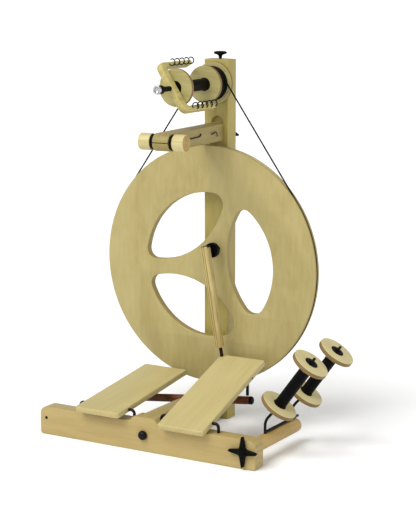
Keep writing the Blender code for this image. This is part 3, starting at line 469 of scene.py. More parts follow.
def rod_along(path, radius, sides=14, cyclic=False, round_end=True):
    """Round wire swept along a path, its ends domed."""
    curve = bpy.data.curves.new("rod", "CURVE")
    curve.dimensions = "3D"
    curve.bevel_depth = radius
    curve.bevel_resolution = max(1, sides // 2 - 1)
    curve.use_fill_caps = not cyclic
    spline = curve.splines.new("POLY")
    points = [Vector(point) for point in path]
    radii = [1.0] * len(points)
    if round_end and not cyclic:
        for end, neighbour in ((0, 1), (-1, -2)):
            way = (points[end] - points[neighbour]).normalized()
            tip = points[end]
            extra = [tip - way * radius * 0.6, tip - way * radius * 0.2, tip]
            widths = [1.0, 0.86, 0.45]
            if end == 0:
                points = extra[::-1] + points[1:]
                radii = widths[::-1] + radii[1:]
            else:
                points = points[:-1] + extra
                radii = radii[:-1] + widths
    spline.points.add(len(points) - 1)
    for slot_point, point, width in zip(spline.points, points, radii):
        slot_point.co = (point[0], point[1], point[2], 1.0)
        slot_point.radius = width
    spline.use_cyclic_u = cyclic
    thing = bpy.data.objects.new("rod", curve)
    bpy.context.scene.collection.objects.link(thing)
    return settled(thing)


def dress_ends(mesh, axis, least, beyond=None):
    """Give faces that look along a local axis the second finish."""
    for face in mesh.polygons:
        if abs(face.normal[axis]) > least and (beyond is None or beyond(face.center)):
            face.material_index = 1


def dress_edge(mesh, axis, most):
    """Give faces that look away from a local axis the second finish."""
    for face in mesh.polygons:
        if abs(face.normal[axis]) < most:
            face.material_index = 1


def arc(centre, radius, first, last, count):
    """Points on an arc, from one angle to another in degrees."""
    points = []
    for step in range(count):
        angle = math.radians(first + (last - first) * step / (count - 1))
        points.append((centre[0] + radius * math.cos(angle),
                       centre[1] + radius * math.sin(angle)))
    return points


def rounded(corners, count=8):
    """Round a polygon's corners; each corner is (x, y, radius)."""
    points = []
    for index in range(len(corners)):
        here = Vector(corners[index][:2])
        before = (Vector(corners[index - 1][:2]) - here).normalized()
        after = (Vector(corners[(index + 1) % len(corners)][:2]) - here).normalized()
        radius = corners[index][2]
        half = before.angle(after) / 2
        centre = here + (before + after).normalized() * radius / math.sin(half)
        start = here + before * radius / math.tan(half) - centre
        end = here + after * radius / math.tan(half) - centre
        for step in range(count + 1):
            side = start.lerp(end, step / count).normalized() * radius
            points.append((centre.x + side.x, centre.y + side.y))
    return points


def placed(mesh, matrix):
    """Move a mesh's points, so that its object can stay at the origin."""
    mesh.transform(matrix)
    return mesh


# ---- frame: beam, leg, post ------------------------------------------------
BEAM_TOP = 0.0586          # the beam's height beside its hump
HOLE_IN, HOLE_UP, HOLE_RADIUS = 0.015, 0.035, 0.0035
SLIT = 0.0003              # air between neighbouring solids
low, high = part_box("front_beam")
leg_low, leg_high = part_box("centre_leg")
half, depth = (high.x - low.x) / 2, high.y - low.y
beam_line = rounded([(half, 0.0, 0.006), (half, BEAM_TOP, 0.016), (0.0350, BEAM_TOP, 0.010),
                     (0.0240, high.z, 0.005), (-0.0240, high.z, 0.005),
                     (-0.0350, BEAM_TOP, 0.010), (-half, BEAM_TOP, 0.016), (-half, 0.0, 0.006)])
beam_shape = placed(slab(beam_line, depth, ease=0.0015),
                    Matrix.Translation((0, (low.y + high.y) / 2, 0))
                    @ Matrix.Rotation(math.pi / 2, 4, "X"))
lap = block((leg_low.x - SLIT, leg_low.y - SLIT, 0.044), (leg_high.x + SLIT, high.y + 0.01, 0.09))
hole_line = [(0.0, 0.03), (HOLE_RADIUS, 0.03), (HOLE_RADIUS, -0.03), (0.0, -0.03)]
end_hole = placed(lathed(hole_line, 24), facing((low.x + HOLE_IN, low.y, HOLE_UP), (0, 1, 0)))
beam_shape = shaped(beam_shape, [lap, end_hole])
dress_ends(beam_shape, X, 0.75, lambda point: abs(point.x) > half - 0.02)
show("front_beam_wood", beam_shape, "frame", [beech_x, beam_end], ["front_beam"])
# A black disc set just inside the end hole stands for the dark depth of the hole: painted shade.
hole_shade_radius = HOLE_RADIUS - 0.0001
hole_shade_disc = lathed([(0.0, 0.0), (hole_shade_radius, 0.0), (hole_shade_radius, -0.004), (0.0, -0.004)], 20)
show("beam_hole_shade", hole_shade_disc, "frame", [nylon],
     place=facing((low.x + HOLE_IN, low.y + 0.0015, HOLE_UP), (0, -1, 0)))

notch_y = joints["rocker_hinge"]["pos_m"][1]
under = block((-0.03, leg_low.y - 0.01, 0.0), (0.03, high.y + SLIT, 0.0443))
notch = block((-0.03, notch_y - 0.011, 0.052), (0.03, notch_y + 0.011, 0.09))
leg_shape = shaped(block(leg_low, leg_high), [under, notch], 0.0013, 3)
show("centre_leg_wood", leg_shape, "frame", [beech_y], ["centre_leg"])

low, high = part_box("post")
peg_point, peg_way = pin_of("peg_turn")
arm_z = peg_point.z
flyer_centre, _ = pin_of("flyer_spin")
flyer_z = flyer_centre.z
relief_z = arm_z + 0.0182
relief = shaped(placed(lathed([(0.0, 0.01), (0.014, 0.01), (0.014, -0.01), (0.0, -0.01)], 48),
                       facing((0.0025, low.y - 0.002, relief_z), (0, 1, 0))),
                [block((-0.03, low.y - 0.02, arm_z - 0.02), (0.03, low.y + 0.02, relief_z))])
bearing_bore = placed(lathed([(0.0, 0.02), (0.0115, 0.02), (0.0115, -0.02), (0.0, -0.02)], 40),
                      facing((0.0, low.y, flyer_z), (0, 1, 0)))
post_shape = shaped(block(low, high), [relief, bearing_bore], 0.0018, 3)
dress_ends(post_shape, Z, 0.8, lambda point: point.z > high.z - 0.01 or point.z < 0.01)
show("post_wood", post_shape, "frame", [beech_z, bar_end], ["post"])
screw_line = eased([(0.0, 0.0006), (0.0046, 0.0006), (0.0052, -0.0004), (0.0, -0.0004)], 0.0003)
for number, height in enumerate((0.024, 0.052)):
    show("post_screw_%d" % (number + 1), lathed(screw_line, 32), "frame",
         [black_wire], place=facing((0.0, high.y + 0.0002, height), (0, 1, 0)))

low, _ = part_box("beam_bolt")
dome = [(0.0, 0.0108), (0.0030, 0.0106), (0.0056, 0.0096), (0.0078, 0.0078), (0.0091, 0.0057),
        (0.0096, 0.0034), (0.0095, 0.0010), (0.0088, 0.0), (0.0030, 0.0), (0.0030, -0.0600),
        (0.0, -0.0600)]
show("beam_bolt_dome", lathed(dome, 40), "frame", [black_wire], ["beam_bolt"],
     facing((0.0, low.y + dome[0][1], middle("beam_bolt").z), (0, -1, 0)))

# ---- tension arm -----------------------------------------------------------
post_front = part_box("post")[0].y
ARM_WIDE = 0.035
swing = math.atan2(peg_way.y, peg_way.x)
arm_length = (post_front - peg_point.y) / math.cos(swing)
on_arm = (Matrix.Translation((0.0, post_front, arm_z)) @ Matrix.Rotation(swing, 4, "Z")
          @ Matrix(((0, 0, 1, 0), (1, 0, 0, 0), (0, 1, 0, 0), (0, 0, 0, 1))))


def arm_point(across, ahead, up=0.0):
    """To the arm's right, ahead of the post, above the arm's middle."""
    return on_arm @ Vector((-ahead, up, across))


arm_line = arc((-arm_length, 0.0), ARM_WIDE / 2, 90.0, 270.0, 33)
arm_line += [(0.004, -ARM_WIDE / 2), (0.004, ARM_WIDE / 2)]
arm_shape = placed(slab(arm_line, ARM_WIDE, ease=0.0014), on_arm)
saw_cut = placed(block((-arm_length - 0.03, -0.0009, -0.03), (0.042 - arm_length, 0.0009, 0.03)),
                 on_arm)
end_cut = block((-0.05, post_front - 0.0002, arm_z - 0.05), (0.05, post_front + 0.03, arm_z + 0.05))
neck_bore = placed(lathed([(0.0, 0.03), (0.0091, 0.03), (0.0091, -0.03), (0.0, -0.03)], 40),
                   facing(peg_point, peg_way))
arm_shape = shaped(arm_shape, [saw_cut, neck_bore, end_cut])
show("tension_arm_wood", placed(arm_shape, on_arm.inverted()), "frame", [shaded_arm_wood],
     ["tension_arm"], on_arm)

PEG_HALF, PEG_RADIUS = 0.0500, 0.0168
neck = ARM_WIDE / 2 + 0.0007
shoulder = neck + 0.0065
peg_line = [(0.0, PEG_HALF), (PEG_RADIUS, PEG_HALF), (PEG_RADIUS, shoulder), (0.009, shoulder),
            (0.009, -shoulder), (PEG_RADIUS, -shoulder), (PEG_RADIUS, -PEG_HALF),
            (0.0, -PEG_HALF)]
peg_shape = lathed(eased(peg_line, 0.0016), 72)
dress_ends(peg_shape, Z, 0.75)
show("tension_peg_wood", peg_shape, "tension_peg", [peg_wood, peg_end],
     ["tension_peg"], facing(peg_point, peg_way))
ring = [(0.0093, 0.0030), (PEG_RADIUS - 0.0012, 0.0030), (PEG_RADIUS - 0.0012, -0.0030),
        (0.0093, -0.0030)]
for side_name, sign in SIDES:
    ring_shape = lathed(eased(ring, 0.0012) + [ring[0]], 64)
    show("peg_ring_%s_rubber" % side_name, ring_shape, "tension_peg", [nylon],
         ["peg_ring_" + side_name], facing(peg_point + peg_way * sign * (neck + 0.0033), peg_way))

hook_side = ARM_WIDE / 2 + 0.0016
hook_path = [arm_point(hook_side, 0.1760), arm_point(hook_side, 0.1480, 0.0004),
             arm_point(hook_side, 0.1130, 0.0010), arm_point(hook_side, 0.1075, 0.0020),
             arm_point(hook_side, 0.1050, 0.0042), arm_point(hook_side, 0.1054, 0.0062)]
show("threading_hook_wire", rod_along(smooth_path(hook_path), 0.0013, 12), "frame",
     [black_wire], ["threading_hook"])
keeper_path = [arm_point(0.0150, 0.0560, 0.0014), arm_point(hook_side + 0.0012, 0.0560, 0.0014)]
for ahead, up in arc((0.0450, -0.0028), 0.0075, 65.0, 195.0, 9):
    keeper_path.append(arm_point(hook_side + 0.0024, ahead, up))
show("arm_keeper_wire", rod_along(smooth_path(keeper_path), 0.0011, 12), "frame",
     [black_wire], ["arm_keeper"])

# ---- drive wheel -----------------------------------------------------------
wheel_centre, _ = pin_of("wheel_spin")
low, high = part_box("drive_wheel")
wheel_radius = (high.x - low.x) / 2
wheel_thick = high.y - low.y
OUTER, INNER, OFFSET = 0.152, 0.170, 0.215   # arc radii, distance between their centres
GROOVE = 0.0030


def tip_of(corner):
    """Centre of a tip's rounding and the angles where it meets the two arcs."""
    outer = OUTER - corner
    inner = INNER - corner
    across = (outer ** 2 - inner ** 2 + OFFSET ** 2) / (2 * OFFSET)
    up = math.sqrt(outer ** 2 - across ** 2)
    edge = math.degrees(math.atan2(up, across))
    back = math.degrees(math.atan2(up, across - OFFSET))
    return across, up, edge, back


def opening_line(turn, first_corner, last_corner):
    """Leaf-shaped opening between two arcs, turned by degrees; the two radii
    round its tips, which are sanded by hand and so not all alike."""
    across, up, edge, back = tip_of(first_corner)
    low_across, low_up, low_edge, low_back = tip_of(last_corner)
    points = arc((0.0, 0.0), OUTER, -low_edge, edge, 49)
    points += arc((across, up), first_corner, edge, back, 12)[1:]
    points += arc((OFFSET, 0.0), INNER, back, 360.0 - low_back, 39)[1:]
    points += arc((low_across, -low_up), last_corner, -low_back, -low_edge, 12)[1:-1]
    spin = math.radians(turn)
    return [(x * math.cos(spin) - y * math.sin(spin), x * math.sin(spin) + y * math.cos(spin))
            for x, y in points]


rim_line = arc((0.0, 0.0), wheel_radius, 0.0, 360.0, 181)[:-1]
openings = [opening_line(7.0, 0.020, 0.027), opening_line(127.0, 0.020, 0.023),
            opening_line(247.0, 0.029, 0.020)]
wheel_shape = slab(rim_line, wheel_thick, openings, 0.0012)
wheel_place = Matrix.Translation(wheel_centre) @ Matrix.Rotation(math.pi / 2, 4, "X")
placed(wheel_shape, wheel_place)
groove = [(wheel_radius + 0.01, 0.0100), (wheel_radius - GROOVE, 0.0012),
          (wheel_radius - GROOVE, -0.0012), (wheel_radius + 0.01, -0.0100),
          (wheel_radius + 0.01, 0.0100)]
groove_tool = placed(lathed(groove, 180), facing(wheel_centre, (0, 1, 0)))
wheel_shape = shaped(wheel_shape, [groove_tool])
dress_edge(wheel_shape, Y, 0.7)
show("drive_wheel_ply", wheel_shape, "wheel", [wheel_face, wheel_edge],
     ["drive_wheel"], sharp=38.0)

WHORL_GROOVE = 0.0045
band_r = span("drive_band").y / 2
whorl_radius = span("flyer_whorl").x / 2
big = wheel_radius - GROOVE + band_r + 0.0002
small = whorl_radius - WHORL_GROOVE + band_r + 0.0002
lift = math.degrees(math.asin((big - small) / (flyer_z - wheel_centre.z)))
band_path = [(x, wheel_centre.y, z) for x, z in
             arc((0.0, wheel_centre.z), big, 180.0 - lift, 360.0 + lift, 150)]
band_path += [(x, wheel_centre.y, z) for x, z in
              arc((0.0, flyer_z), small, lift, 180.0 - lift, 34)]
show("drive_band_cord", rod_along(band_path, band_r, 12, cyclic=True), "frame",
     [band_rubber], ["drive_band"])

radius, long = span("crank_bearing").x / 2, span("crank_bearing").y / 2
bearing_line = [(0.0, long), (0.0042, long), (0.0042, long - 0.0008),
                (radius - 0.0022, long - 0.0006), (radius - 0.0014, long), (radius, long),
                (radius, -long), (0.0, -long)]
show("crank_bearing_case", lathed(eased(bearing_line, 0.0009), 56), "wheel",
     [nylon], ["crank_bearing"], facing(middle("crank_bearing"), (0, -1, 0)))
radius, long = span("crank_pin").x / 2, span("crank_pin").y / 2
pin_line = [(0.0, long), (radius, long), (radius, -long), (0.0, -long)]
show("crank_pin_steel", lathed(eased(pin_line, 0.0006), 32), "wheel", [black_wire],
     ["crank_pin"], facing(middle("crank_pin"), (0, 1, 0)))

# ---- treadles --------------------------------------------------------------
BOARD_FRONT, BOARD_BACK = -0.040, 0.226      # measured from the hinge, along the board
SLOPES = {"right": 19.5, "left": 7.0}
HINGE_WIRE, HINGE_BEND = 0.003, 0.0075
for side_name, sign in SIDES:
    hinge_point, _ = pin_of("treadle_%s_hinge" % side_name)
    wide = span("treadle_" + side_name).x / 2
    line = rounded([(wide, BOARD_FRONT, 0.005), (wide, BOARD_BACK, 0.005),
                    (-wide, BOARD_BACK, 0.005), (-wide, BOARD_FRONT, 0.005)], 6)
    plank = slab(line, 0.012, ease=0.0022, ease_steps=4)
    dress_ends(plank, Y, 0.8,
               lambda point: point.y > BOARD_BACK - 0.004 or point.y < BOARD_FRONT + 0.004)
    tilt = (Matrix.Translation(hinge_point)
            @ Matrix.Rotation(math.radians(SLOPES[side_name]), 4, "X"))
    show("treadle_%s_board" % side_name, plank, "treadle_" + side_name,
         [treadle_wood, treadle_end], ["treadle_" + side_name], tilt)
    pin_dome = lathed([(0.0, 0.0009), (0.0016, 0.0006), (0.0022, 0.0), (0.0022, -0.0004),
                       (0.0, -0.0004)], 24)
    edge_point = tilt @ Vector((sign * wide, 0.1675, -0.0015))
    show("link_pin_%s" % side_name, pin_dome, "treadle_" + side_name, [black_wire],
         place=facing(edge_point, (sign, 0, 0)))
    low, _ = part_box("hinge_wire_" + side_name)
    reach = span("hinge_wire_" + side_name).x / 2 - HINGE_WIRE
    centre_x = middle("hinge_wire_" + side_name).x
    bend = arc((HINGE_BEND - reach, hinge_point.z - HINGE_BEND), HINGE_BEND, 180.0, 90.0, 9)
    path = [(-reach, low.z)] + bend + [(-x, z) for x, z in reversed(bend)] + [(reach, low.z)]
    show("hinge_wire_%s_bent" % side_name,
         rod_along([(centre_x + x, hinge_point.y, z) for x, z in path], HINGE_WIRE, 16),
         "frame", [black_wire], ["hinge_wire_" + side_name])
    low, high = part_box("link_wire_" + side_name)
    mid = (low + high) / 2
    show("link_wire_%s_steel" % side_name,
         rod_along([(mid.x, mid.y, z) for z in (low.z + 0.0004, mid.z, high.z)], 0.0032, 16,
                   round_end=False),
         "link_" + side_name, [black_wire], ["link_wire_" + side_name])

# ---- rocker ----------------------------------------------------------------
cap_right = middle("rocker_cap_right")
cap_left = middle("rocker_cap_left")
rocker_way = (cap_right - cap_left).normalized()
rocker_mid = (cap_right + cap_left) / 2
rocker_half = (cap_right - cap_left).length / 2
bare_half = rocker_half - 0.0020            # the dowel ends inside its caps
dowel = lathed(eased([(0.0, bare_half), (0.00825, bare_half), (0.00825, -bare_half),
                      (0.0, -bare_half)], 0.0003), 40)
rocker_place = Matrix.Translation(rocker_mid) @ Matrix.Rotation(
    -math.atan2(rocker_way.z, rocker_way.x), 4, "Y")
placed(dowel, Matrix.Rotation(math.pi / 2, 4, "Y"))
show("rocker_dowel_stained", dowel, "rocker", [dark_dowel], ["rocker_dowel"],
     rocker_place)
for side_name, sign in SIDES:
    cap = lathed([(0.0, 0.0030), (0.0055, 0.0028), (0.0074, 0.0020), (0.0083, 0.0004),
                  (0.0084, -0.0022), (0.0082, -0.0024)], 40)
    show("rocker_cap_%s_nylon" % side_name, cap, "rocker", [nylon],
         ["rocker_cap_" + side_name],
         facing(rocker_mid + rocker_way * sign * (rocker_half - 0.0015), rocker_way * sign))

# ---- connecting rod --------------------------------------------------------
ROD_RUN = Vector((-0.0315, -0.0060, 0.2100))     # from the rod's foot to its head
foot = middle("connecting_rod") - ROD_RUN / 2
head = foot + ROD_RUN
rod_way = ROD_RUN.normalized()
rod_half = ROD_RUN.length / 2
saw_lines = [block((x - 0.0009, -0.0080, -rod_half - 0.01), (x + 0.0009, -0.0056, rod_half + 0.01))
             for x in (-0.0058, -0.0012)]
rod_shape = shaped(block((-0.00825, -0.0074, -rod_half), (0.00650, 0.0070, rod_half)), saw_lines,
                   0.0006, 2, 50.0)
dress_ends(rod_shape, Z, 0.9)
rod_place = facing((foot + head) / 2, rod_way)
show("connecting_rod_wood", rod_shape, "rod", [rod_wood, peg_end],
     ["connecting_rod"], rod_place)
strap = shaped(block((-0.0074, -0.0066, 0.0), (0.0092, 0.0074, 0.0022)), (), 0.0008, 3)
show("rod_top_strap", strap, "rod", [nylon],
     place=Matrix.Translation(head - rod_way * 0.0019) @ rod_place.to_3x3().to_4x4())
seat, _ = pin_of("rod_hinge")
joint_path = [seat - Vector((0, 0, 0.0042)), seat - Vector((0, 0, 0.001)), seat.lerp(foot, 0.30),
              seat.lerp(foot, 0.65), foot - rod_way * 0.0004]
joint_mesh = rod_along(smooth_path(joint_path, 5), 0.0034, 16, round_end=False)
joint_piece = bpy.data.objects.new("rod_joint_rubber", joint_mesh)
bpy.context.scene.collection.objects.link(joint_piece)
joint_mesh.materials.append(joint_rubber)
joint_mesh.shade_smooth()
joint_mesh.set_sharp_from_angle(angle=math.radians(40))
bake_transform(joint_piece)
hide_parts("rod_joint")

# ---- flyer -----------------------------------------------------------------
lean = math.radians(32.98)
across_way = Vector((-math.sin(lean), 0.0, math.cos(lean)))
face_way = Vector((math.cos(lean), 0.0, math.sin(lean)))
low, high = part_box("flyer_frame")
front, back = low.y, high.y
reach, arm, board = 0.056, 0.012, 0.013     # half width, arm's width, thickness
inside = reach - arm
flyer_line = rounded([(-reach, front, 0.016), (reach, front, 0.016), (reach, back, 0.003),
                      (inside + 0.003, back, 0.006), (inside, back - 0.014, 0.010),
                      (inside, front + 0.020, 0.009), (-inside, front + 0.020, 0.009),
                      (-inside, back - 0.014, 0.010), (-inside - 0.003, back, 0.006),
                      (-reach, back, 0.003)])
flyer_shape = slab(flyer_line, board, ease=0.0026, ease_steps=4)
flyer_place = Matrix(((across_way.x, 0, -face_way.x, 0), (0, 1, 0, 0),
                      (across_way.z, 0, -face_way.z, flyer_z), (0, 0, 0, 1)))
show("flyer_frame_wood", flyer_shape, "flyer", [flyer_wood], ["flyer_frame"],
     flyer_place)

ring_mid = middle("orifice_ring")
wide = span("orifice_ring").y / 2
orifice = [(0.0060, -wide), (0.0060, wide), (0.0090, wide), (0.0090, -wide), (0.0060, -wide),
           (0.0060, wide)]
orifice = eased(orifice, 0.0009, 4)[1:-1]
show("orifice_ring_bright", lathed(orifice + [orifice[0]], 56), "flyer",
     [bright_steel], ["orifice_ring"], facing(ring_mid, (0, -1, 0)))
funnel = lathed([(0.0062, wide - 0.0012), (0.0050, wide - 0.0036), (0.0030, wide - 0.0046),
                 (0.0012, wide - 0.0044), (0.0, wide - 0.0042)], 48)
show("orifice_funnel_bright", funnel, "flyer", [bright_steel],
     place=facing(ring_mid, (0, -1, 0)))
tube_at = Vector((0.0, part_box("orifice_tube")[0].y, flyer_z))
tube = [(0.0, -0.020), (0.0044, -0.020), (0.0044, 0.0), (0.0088, 0.0), (0.0088, -0.0120),
        (0.0052, -0.0145), (0.0052, -0.0430), (0.0, -0.0430)]
show("orifice_tube_nylon", lathed(eased(tube, 0.0008), 48), "flyer", [nylon],
     ["orifice_tube"], facing(tube_at, (0, -1, 0)))

whorl_mid = middle("flyer_whorl")
half = span("flyer_whorl").y / 2
groove_at = whorl_mid.y - wheel_centre.y
whorl = [(0.0060, half), (0.0300, half), (0.0340, half - 0.0045), (whorl_radius, half - 0.0080),
         (whorl_radius, groove_at + 0.0038), (whorl_radius - WHORL_GROOVE, groove_at + 0.0014),
         (whorl_radius - WHORL_GROOVE, groove_at - 0.0014), (whorl_radius, groove_at - 0.0038),
         (whorl_radius, -half), (0.0060, -half)]
show("flyer_whorl_nylon", lathed(eased(whorl, 0.0007) + [whorl[0]], 72), "flyer",
     [nylon], ["flyer_whorl"], facing(whorl_mid, (0, -1, 0)))
half = span("rear_disc").y / 2
disc_radius = span("rear_disc").x / 2
disc_line = [(0.006, half), (disc_radius, half), (disc_radius, -half), (0.006, -half)]
disc = lathed(eased(disc_line, 0.0022) + [disc_line[0]], 80)
dress_edge(disc, Z, 0.6)
# The rear disc takes the darker flange tone: painted shade.
show("rear_disc_birch", disc, "flyer", [shaded_flange_face, flange_edge], ["rear_disc"],
     facing(middle("rear_disc"), (0, -1, 0)))
low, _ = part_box("flyer_bearing")
bearing = [(0.0052, 0.0), (0.0140, 0.0), (0.0140, -0.0032), (0.0112, -0.0034), (0.0112, -0.0240)]
show("flyer_bearing_nylon", lathed(eased(bearing, 0.0007), 48), "frame", [nylon],
     ["flyer_bearing"], facing((0.0, low.y, flyer_z), (0, -1, 0)))

HOOK_LOOP, HOOK_WIRE, HOOK_PITCH = 0.0065, 0.0012, 0.0035
loop_centre = board / 2 + HOOK_LOOP + 0.0006
for arm_name, place in (("upper", reach - arm / 2), ("lower", arm / 2 - reach)):
    for number in range(5):
        node_name = "flyer_hook_%s_%d" % (arm_name, number + 1)
        front_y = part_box(node_name)[0].y + HOOK_WIRE
        path = [Vector((0.0, front_y, flyer_z)) + across_way * place + face_way * 0.0030]
        for step in range(33):
            turn = math.radians(-90.0 + 285.0 * step / 32)
            path.append(Vector((0.0, front_y + HOOK_PITCH * step / 32, flyer_z))
                        + across_way * (place + math.copysign(HOOK_LOOP, -place) * math.cos(turn))
                        + face_way * (loop_centre + HOOK_LOOP * math.sin(turn)))
        show(node_name + "_wire", rod_along(path, HOOK_WIRE, 10), "flyer",
             [black_wire], [node_name])


# ---- bobbins ---------------------------------------------------------------
BOBBIN_LONG = 0.1195


def bobbin(stem, body, joint, face_finish):
    """Two ply flanges on a black core, all turned about the joint's axis."""
    start, way = pin_of(joint)
    radius, thick, lip, hole, core = 0.038, 0.0085, 0.0136, 0.0052, 0.0120
    whole = BOBBIN_LONG
    flange = [(lip + 0.0002, thick / 2), (radius, thick / 2), (radius, -thick / 2),
              (lip + 0.0002, -thick / 2)]
    for end_name, along_by in (("front", thick / 2), ("rear", whole - thick / 2)):
        shape = lathed(eased(flange, 0.0011) + [flange[0]], 72)
        dress_edge(shape, Z, 0.6)
        show("%s_%s_flange_birch" % (stem, end_name), shape, body,
             [face_finish, flange_edge], ["%s_%s_flange" % (stem, end_name)],
             facing(start + way * along_by, way))
    inner = thick + 0.0008
    line = [(hole, -0.0008), (lip, -0.0008), (lip, inner), (core, inner + 0.0010),
            (core, whole - inner - 0.0010), (lip, whole - inner), (lip, whole + 0.0008),
            (hole, whole + 0.0008)]
    tube_line = [(r, -h) for r, h in line]
    shape = lathed(eased(tube_line, 0.0006) + [tube_line[0]], 48)
    show(stem + "_core_nylon", shape, body, [nylon], [stem + "_core"],
         facing(start, -way))


# The flyer bobbin takes the darker flange tone (painted shade); the spare bobbins take the lighter
# one (painted light).
bobbin("bobbin", "flyer_bobbin", "bobbin_spin", shaded_flange_face)
bobbin("spare_bobbin_1", "spare_bobbin_1", "spare_bobbin_1_spin", lit_flange_face)
bobbin("spare_bobbin_2", "spare_bobbin_2", "spare_bobbin_2_spin", lit_flange_face)

# ---- bobbin rack -----------------------------------------------------------
low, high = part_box("rack_dowel")
rack_at = (low + high) / 2
rack_radius = (high.x - low.x) / 2
length = high.y - low.y
rack_line = [(0.0, length), (0.0040, length), (rack_radius - 0.0030, length - 0.0006),
             (rack_radius, length - 0.0045), (rack_radius, 0.0), (0.0, 0.0)]
show("rack_dowel_wood", lathed(eased(rack_line, 0.0022, 5), 64), "rack",
     [dowel_wood], ["rack_dowel"], facing((rack_at.x, low.y, rack_at.z), (0, 1, 0)))

WIRE_RADIUS, BOBBIN_AT, TIP_PAST = 0.0028, 0.0445, 0.0125
wire_foot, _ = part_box("rack_wire")
for number in (1, 2):
    start, way = pin_of("spare_bobbin_%d_spin" % number)
    bend = start - way * BOBBIN_AT
    knee = bend + Vector((0, 0, 0.0065))
    below = knee - Vector((0, 0, 0.010))
    beyond = knee.lerp(start, 0.30)
    path = [Vector((bend.x, bend.y, wire_foot.z))]
    for step in range(11):
        share = step / 10
        path.append(below.lerp(knee, share).lerp(knee.lerp(beyond, share), share))
    path += [start, start + way * (BOBBIN_LONG + TIP_PAST)]
    show("rack_spindle_%d" % number, rod_along(path, WIRE_RADIUS, 16), "rack",
         [black_wire], ["rack_wire"])
start, way = pin_of("spare_bobbin_1_spin")
first_foot = start - way * BOBBIN_AT
rail_z = rack_at.z + rack_radius + WIRE_RADIUS + SLIT
rail = [(first_foot.x, first_foot.y + along_by, rail_z) for along_by in (-0.0010, 0.13, 0.1390)]
show("rack_rail_wire", rod_along(rail, WIRE_RADIUS, 16), "rack", [black_wire])


# ---- knobs -----------------------------------------------------------------
def star(stem, points, tip, waist, thick, face_at, way, turn):
    """A moulded star knob: tapering arms round a domed hub.  tip and waist are
    the radii at the points and between them, turn is in degrees."""
    line = []
    for number in range(points * 2):
        angle = math.radians(turn + 180.0 * number / points)
        radius = tip if number % 2 == 0 else waist
        line.append((radius * math.cos(angle), radius * math.sin(angle),
                     0.0024 if number % 2 == 0 else 0.0060))
    arms = slab(rounded(line, 6), thick, ease=0.0017, ease_steps=4)
    show(stem + "_arms", arms, stem, [nylon], [stem], facing(face_at, way))
    hub = lathed([(0.0, thick / 2 + 0.0048), (0.0040, thick / 2 + 0.0046),
                  (0.0070, thick / 2 + 0.0034), (0.0090, thick / 2 + 0.0004),
                  (0.0096, -thick / 2), (0.0, -thick / 2)], 48)
    show(stem + "_hub", hub, stem, [nylon], place=facing(face_at, way))


knob_at, _ = pin_of("rack_knob_turn")
star("rack_knob", 4, 0.0425, 0.0090, 0.008,
     (knob_at.x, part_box("rack_knob")[0].y + 0.009, knob_at.z), (0, -1, 0), 90.0)
star("arm_knob", 5, 0.0420, 0.011, 0.007,
     (0.0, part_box("arm_knob")[1].y - 0.0085, arm_z), (0, 1, 0), 18.0)
top_at, _ = pin_of("top_knob_turn")
knob = [(0.0, 0.0160), (0.0080, 0.0158), (0.0112, 0.0152), (0.0131, 0.0140), (0.0136, 0.0124),
        (0.0131, 0.0108), (0.0110, 0.0096), (0.0070, 0.0086), (0.0044, 0.0070), (0.0040, 0.0050),
        (0.0032, 0.0030), (0.0032, -0.0190), (0.0, -0.0190)]
show("top_knob_nylon", lathed(knob, 48), "top_knob", [nylon], ["top_knob"],
     facing((0.0, top_at.y, top_at.z), (0, 0, 1)))

# ---- CAD pieces that keep their own shape ----------------------------------
for node_name, finish in (("wheel_axle", bright_steel), ("flyer_shaft", bright_steel),
                          ("rocker_pin", bright_steel), ("wheel_hub", nylon)):
    node_mesh = frame["nodes"][node_name].data
    node_mesh.materials.clear()
    node_mesh.materials.append(finish)

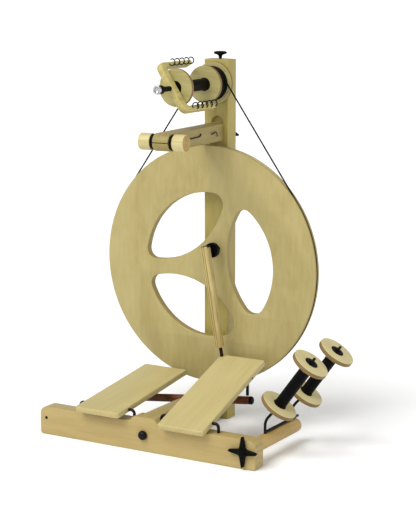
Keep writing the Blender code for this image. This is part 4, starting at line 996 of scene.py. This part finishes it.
# ---- floor, light, camera --------------------------------------------------
floor_mesh = bpy.data.meshes.new("floor")
floor_shape = bmesh.new()
bmesh.ops.create_grid(floor_shape, x_segments=1, y_segments=1, size=300.0)
floor_shape.to_mesh(floor_mesh)
floor_shape.free()
floor = bpy.data.objects.new("floor", floor_mesh)
bpy.context.scene.collection.objects.link(floor)
floor.location = (0, 0, -0.0002)
floor_paint, _, floor_shader = new_finish("pale_floor", 0.9)
floor_shader.inputs["Base Color"].default_value = tint("FAFAFA")
floor_mesh.materials.append(floor_paint)


def sun_light(name, around, above, strength, softness):
    """A wide soft light far away: degrees round from the front, degrees up."""
    light = bpy.data.lights.new(name, "SUN")
    light.energy = strength
    light.angle = math.radians(softness)
    lamp = bpy.data.objects.new(name, light)
    level = math.cos(math.radians(above))
    back_to = Vector((math.sin(math.radians(around)) * level,
                      -math.cos(math.radians(around)) * level, math.sin(math.radians(above))))
    lamp.rotation_euler = back_to.to_track_quat("Z", "Y").to_euler()
    bpy.context.scene.collection.objects.link(lamp)


sun_light("key_softbox", -20.0, 50.0, 2.60, 40.0)
sun_light("side_fill", 70.0, 22.0, 1.1, 80.0)

world = bpy.data.worlds.new("studio")
bpy.context.scene.world = world
world.use_nodes = True
# White low down, so that the floor runs out into white; softer grey above.
sky = world.node_tree
way = add_node(sky, "TexCoord")
parts = add_node(sky, "SeparateXYZ", links={"Vector": way.outputs["Generated"]})
fade = add_node(sky, "MapRange", {"From Min": 0.18, "From Max": 0.26, "To Min": 1.0,
                                            "To Max": 0.46}, {"Value": parts.outputs["Z"]})
sky.links.new(fade.outputs["Result"], sky.nodes["Background"].inputs["Color"])
sky.nodes["Background"].inputs["Strength"].default_value = 1.0
bpy.context.scene.view_settings.view_transform = "Standard"

camera_data = bpy.data.cameras.new("camera")
camera_data.sensor_fit = "VERTICAL"
camera_data.sensor_height = 36.0
camera_data.lens = 111.91
camera_data.clip_end = 400.0
camera = bpy.data.objects.new("camera", camera_data)
camera.location = (1.6896, -2.6133, 0.9590)
camera.rotation_euler = (math.radians(90.0 - 10.46), 0.0, math.radians(30.68))
bpy.context.scene.collection.objects.link(camera)
bpy.context.scene.camera = camera
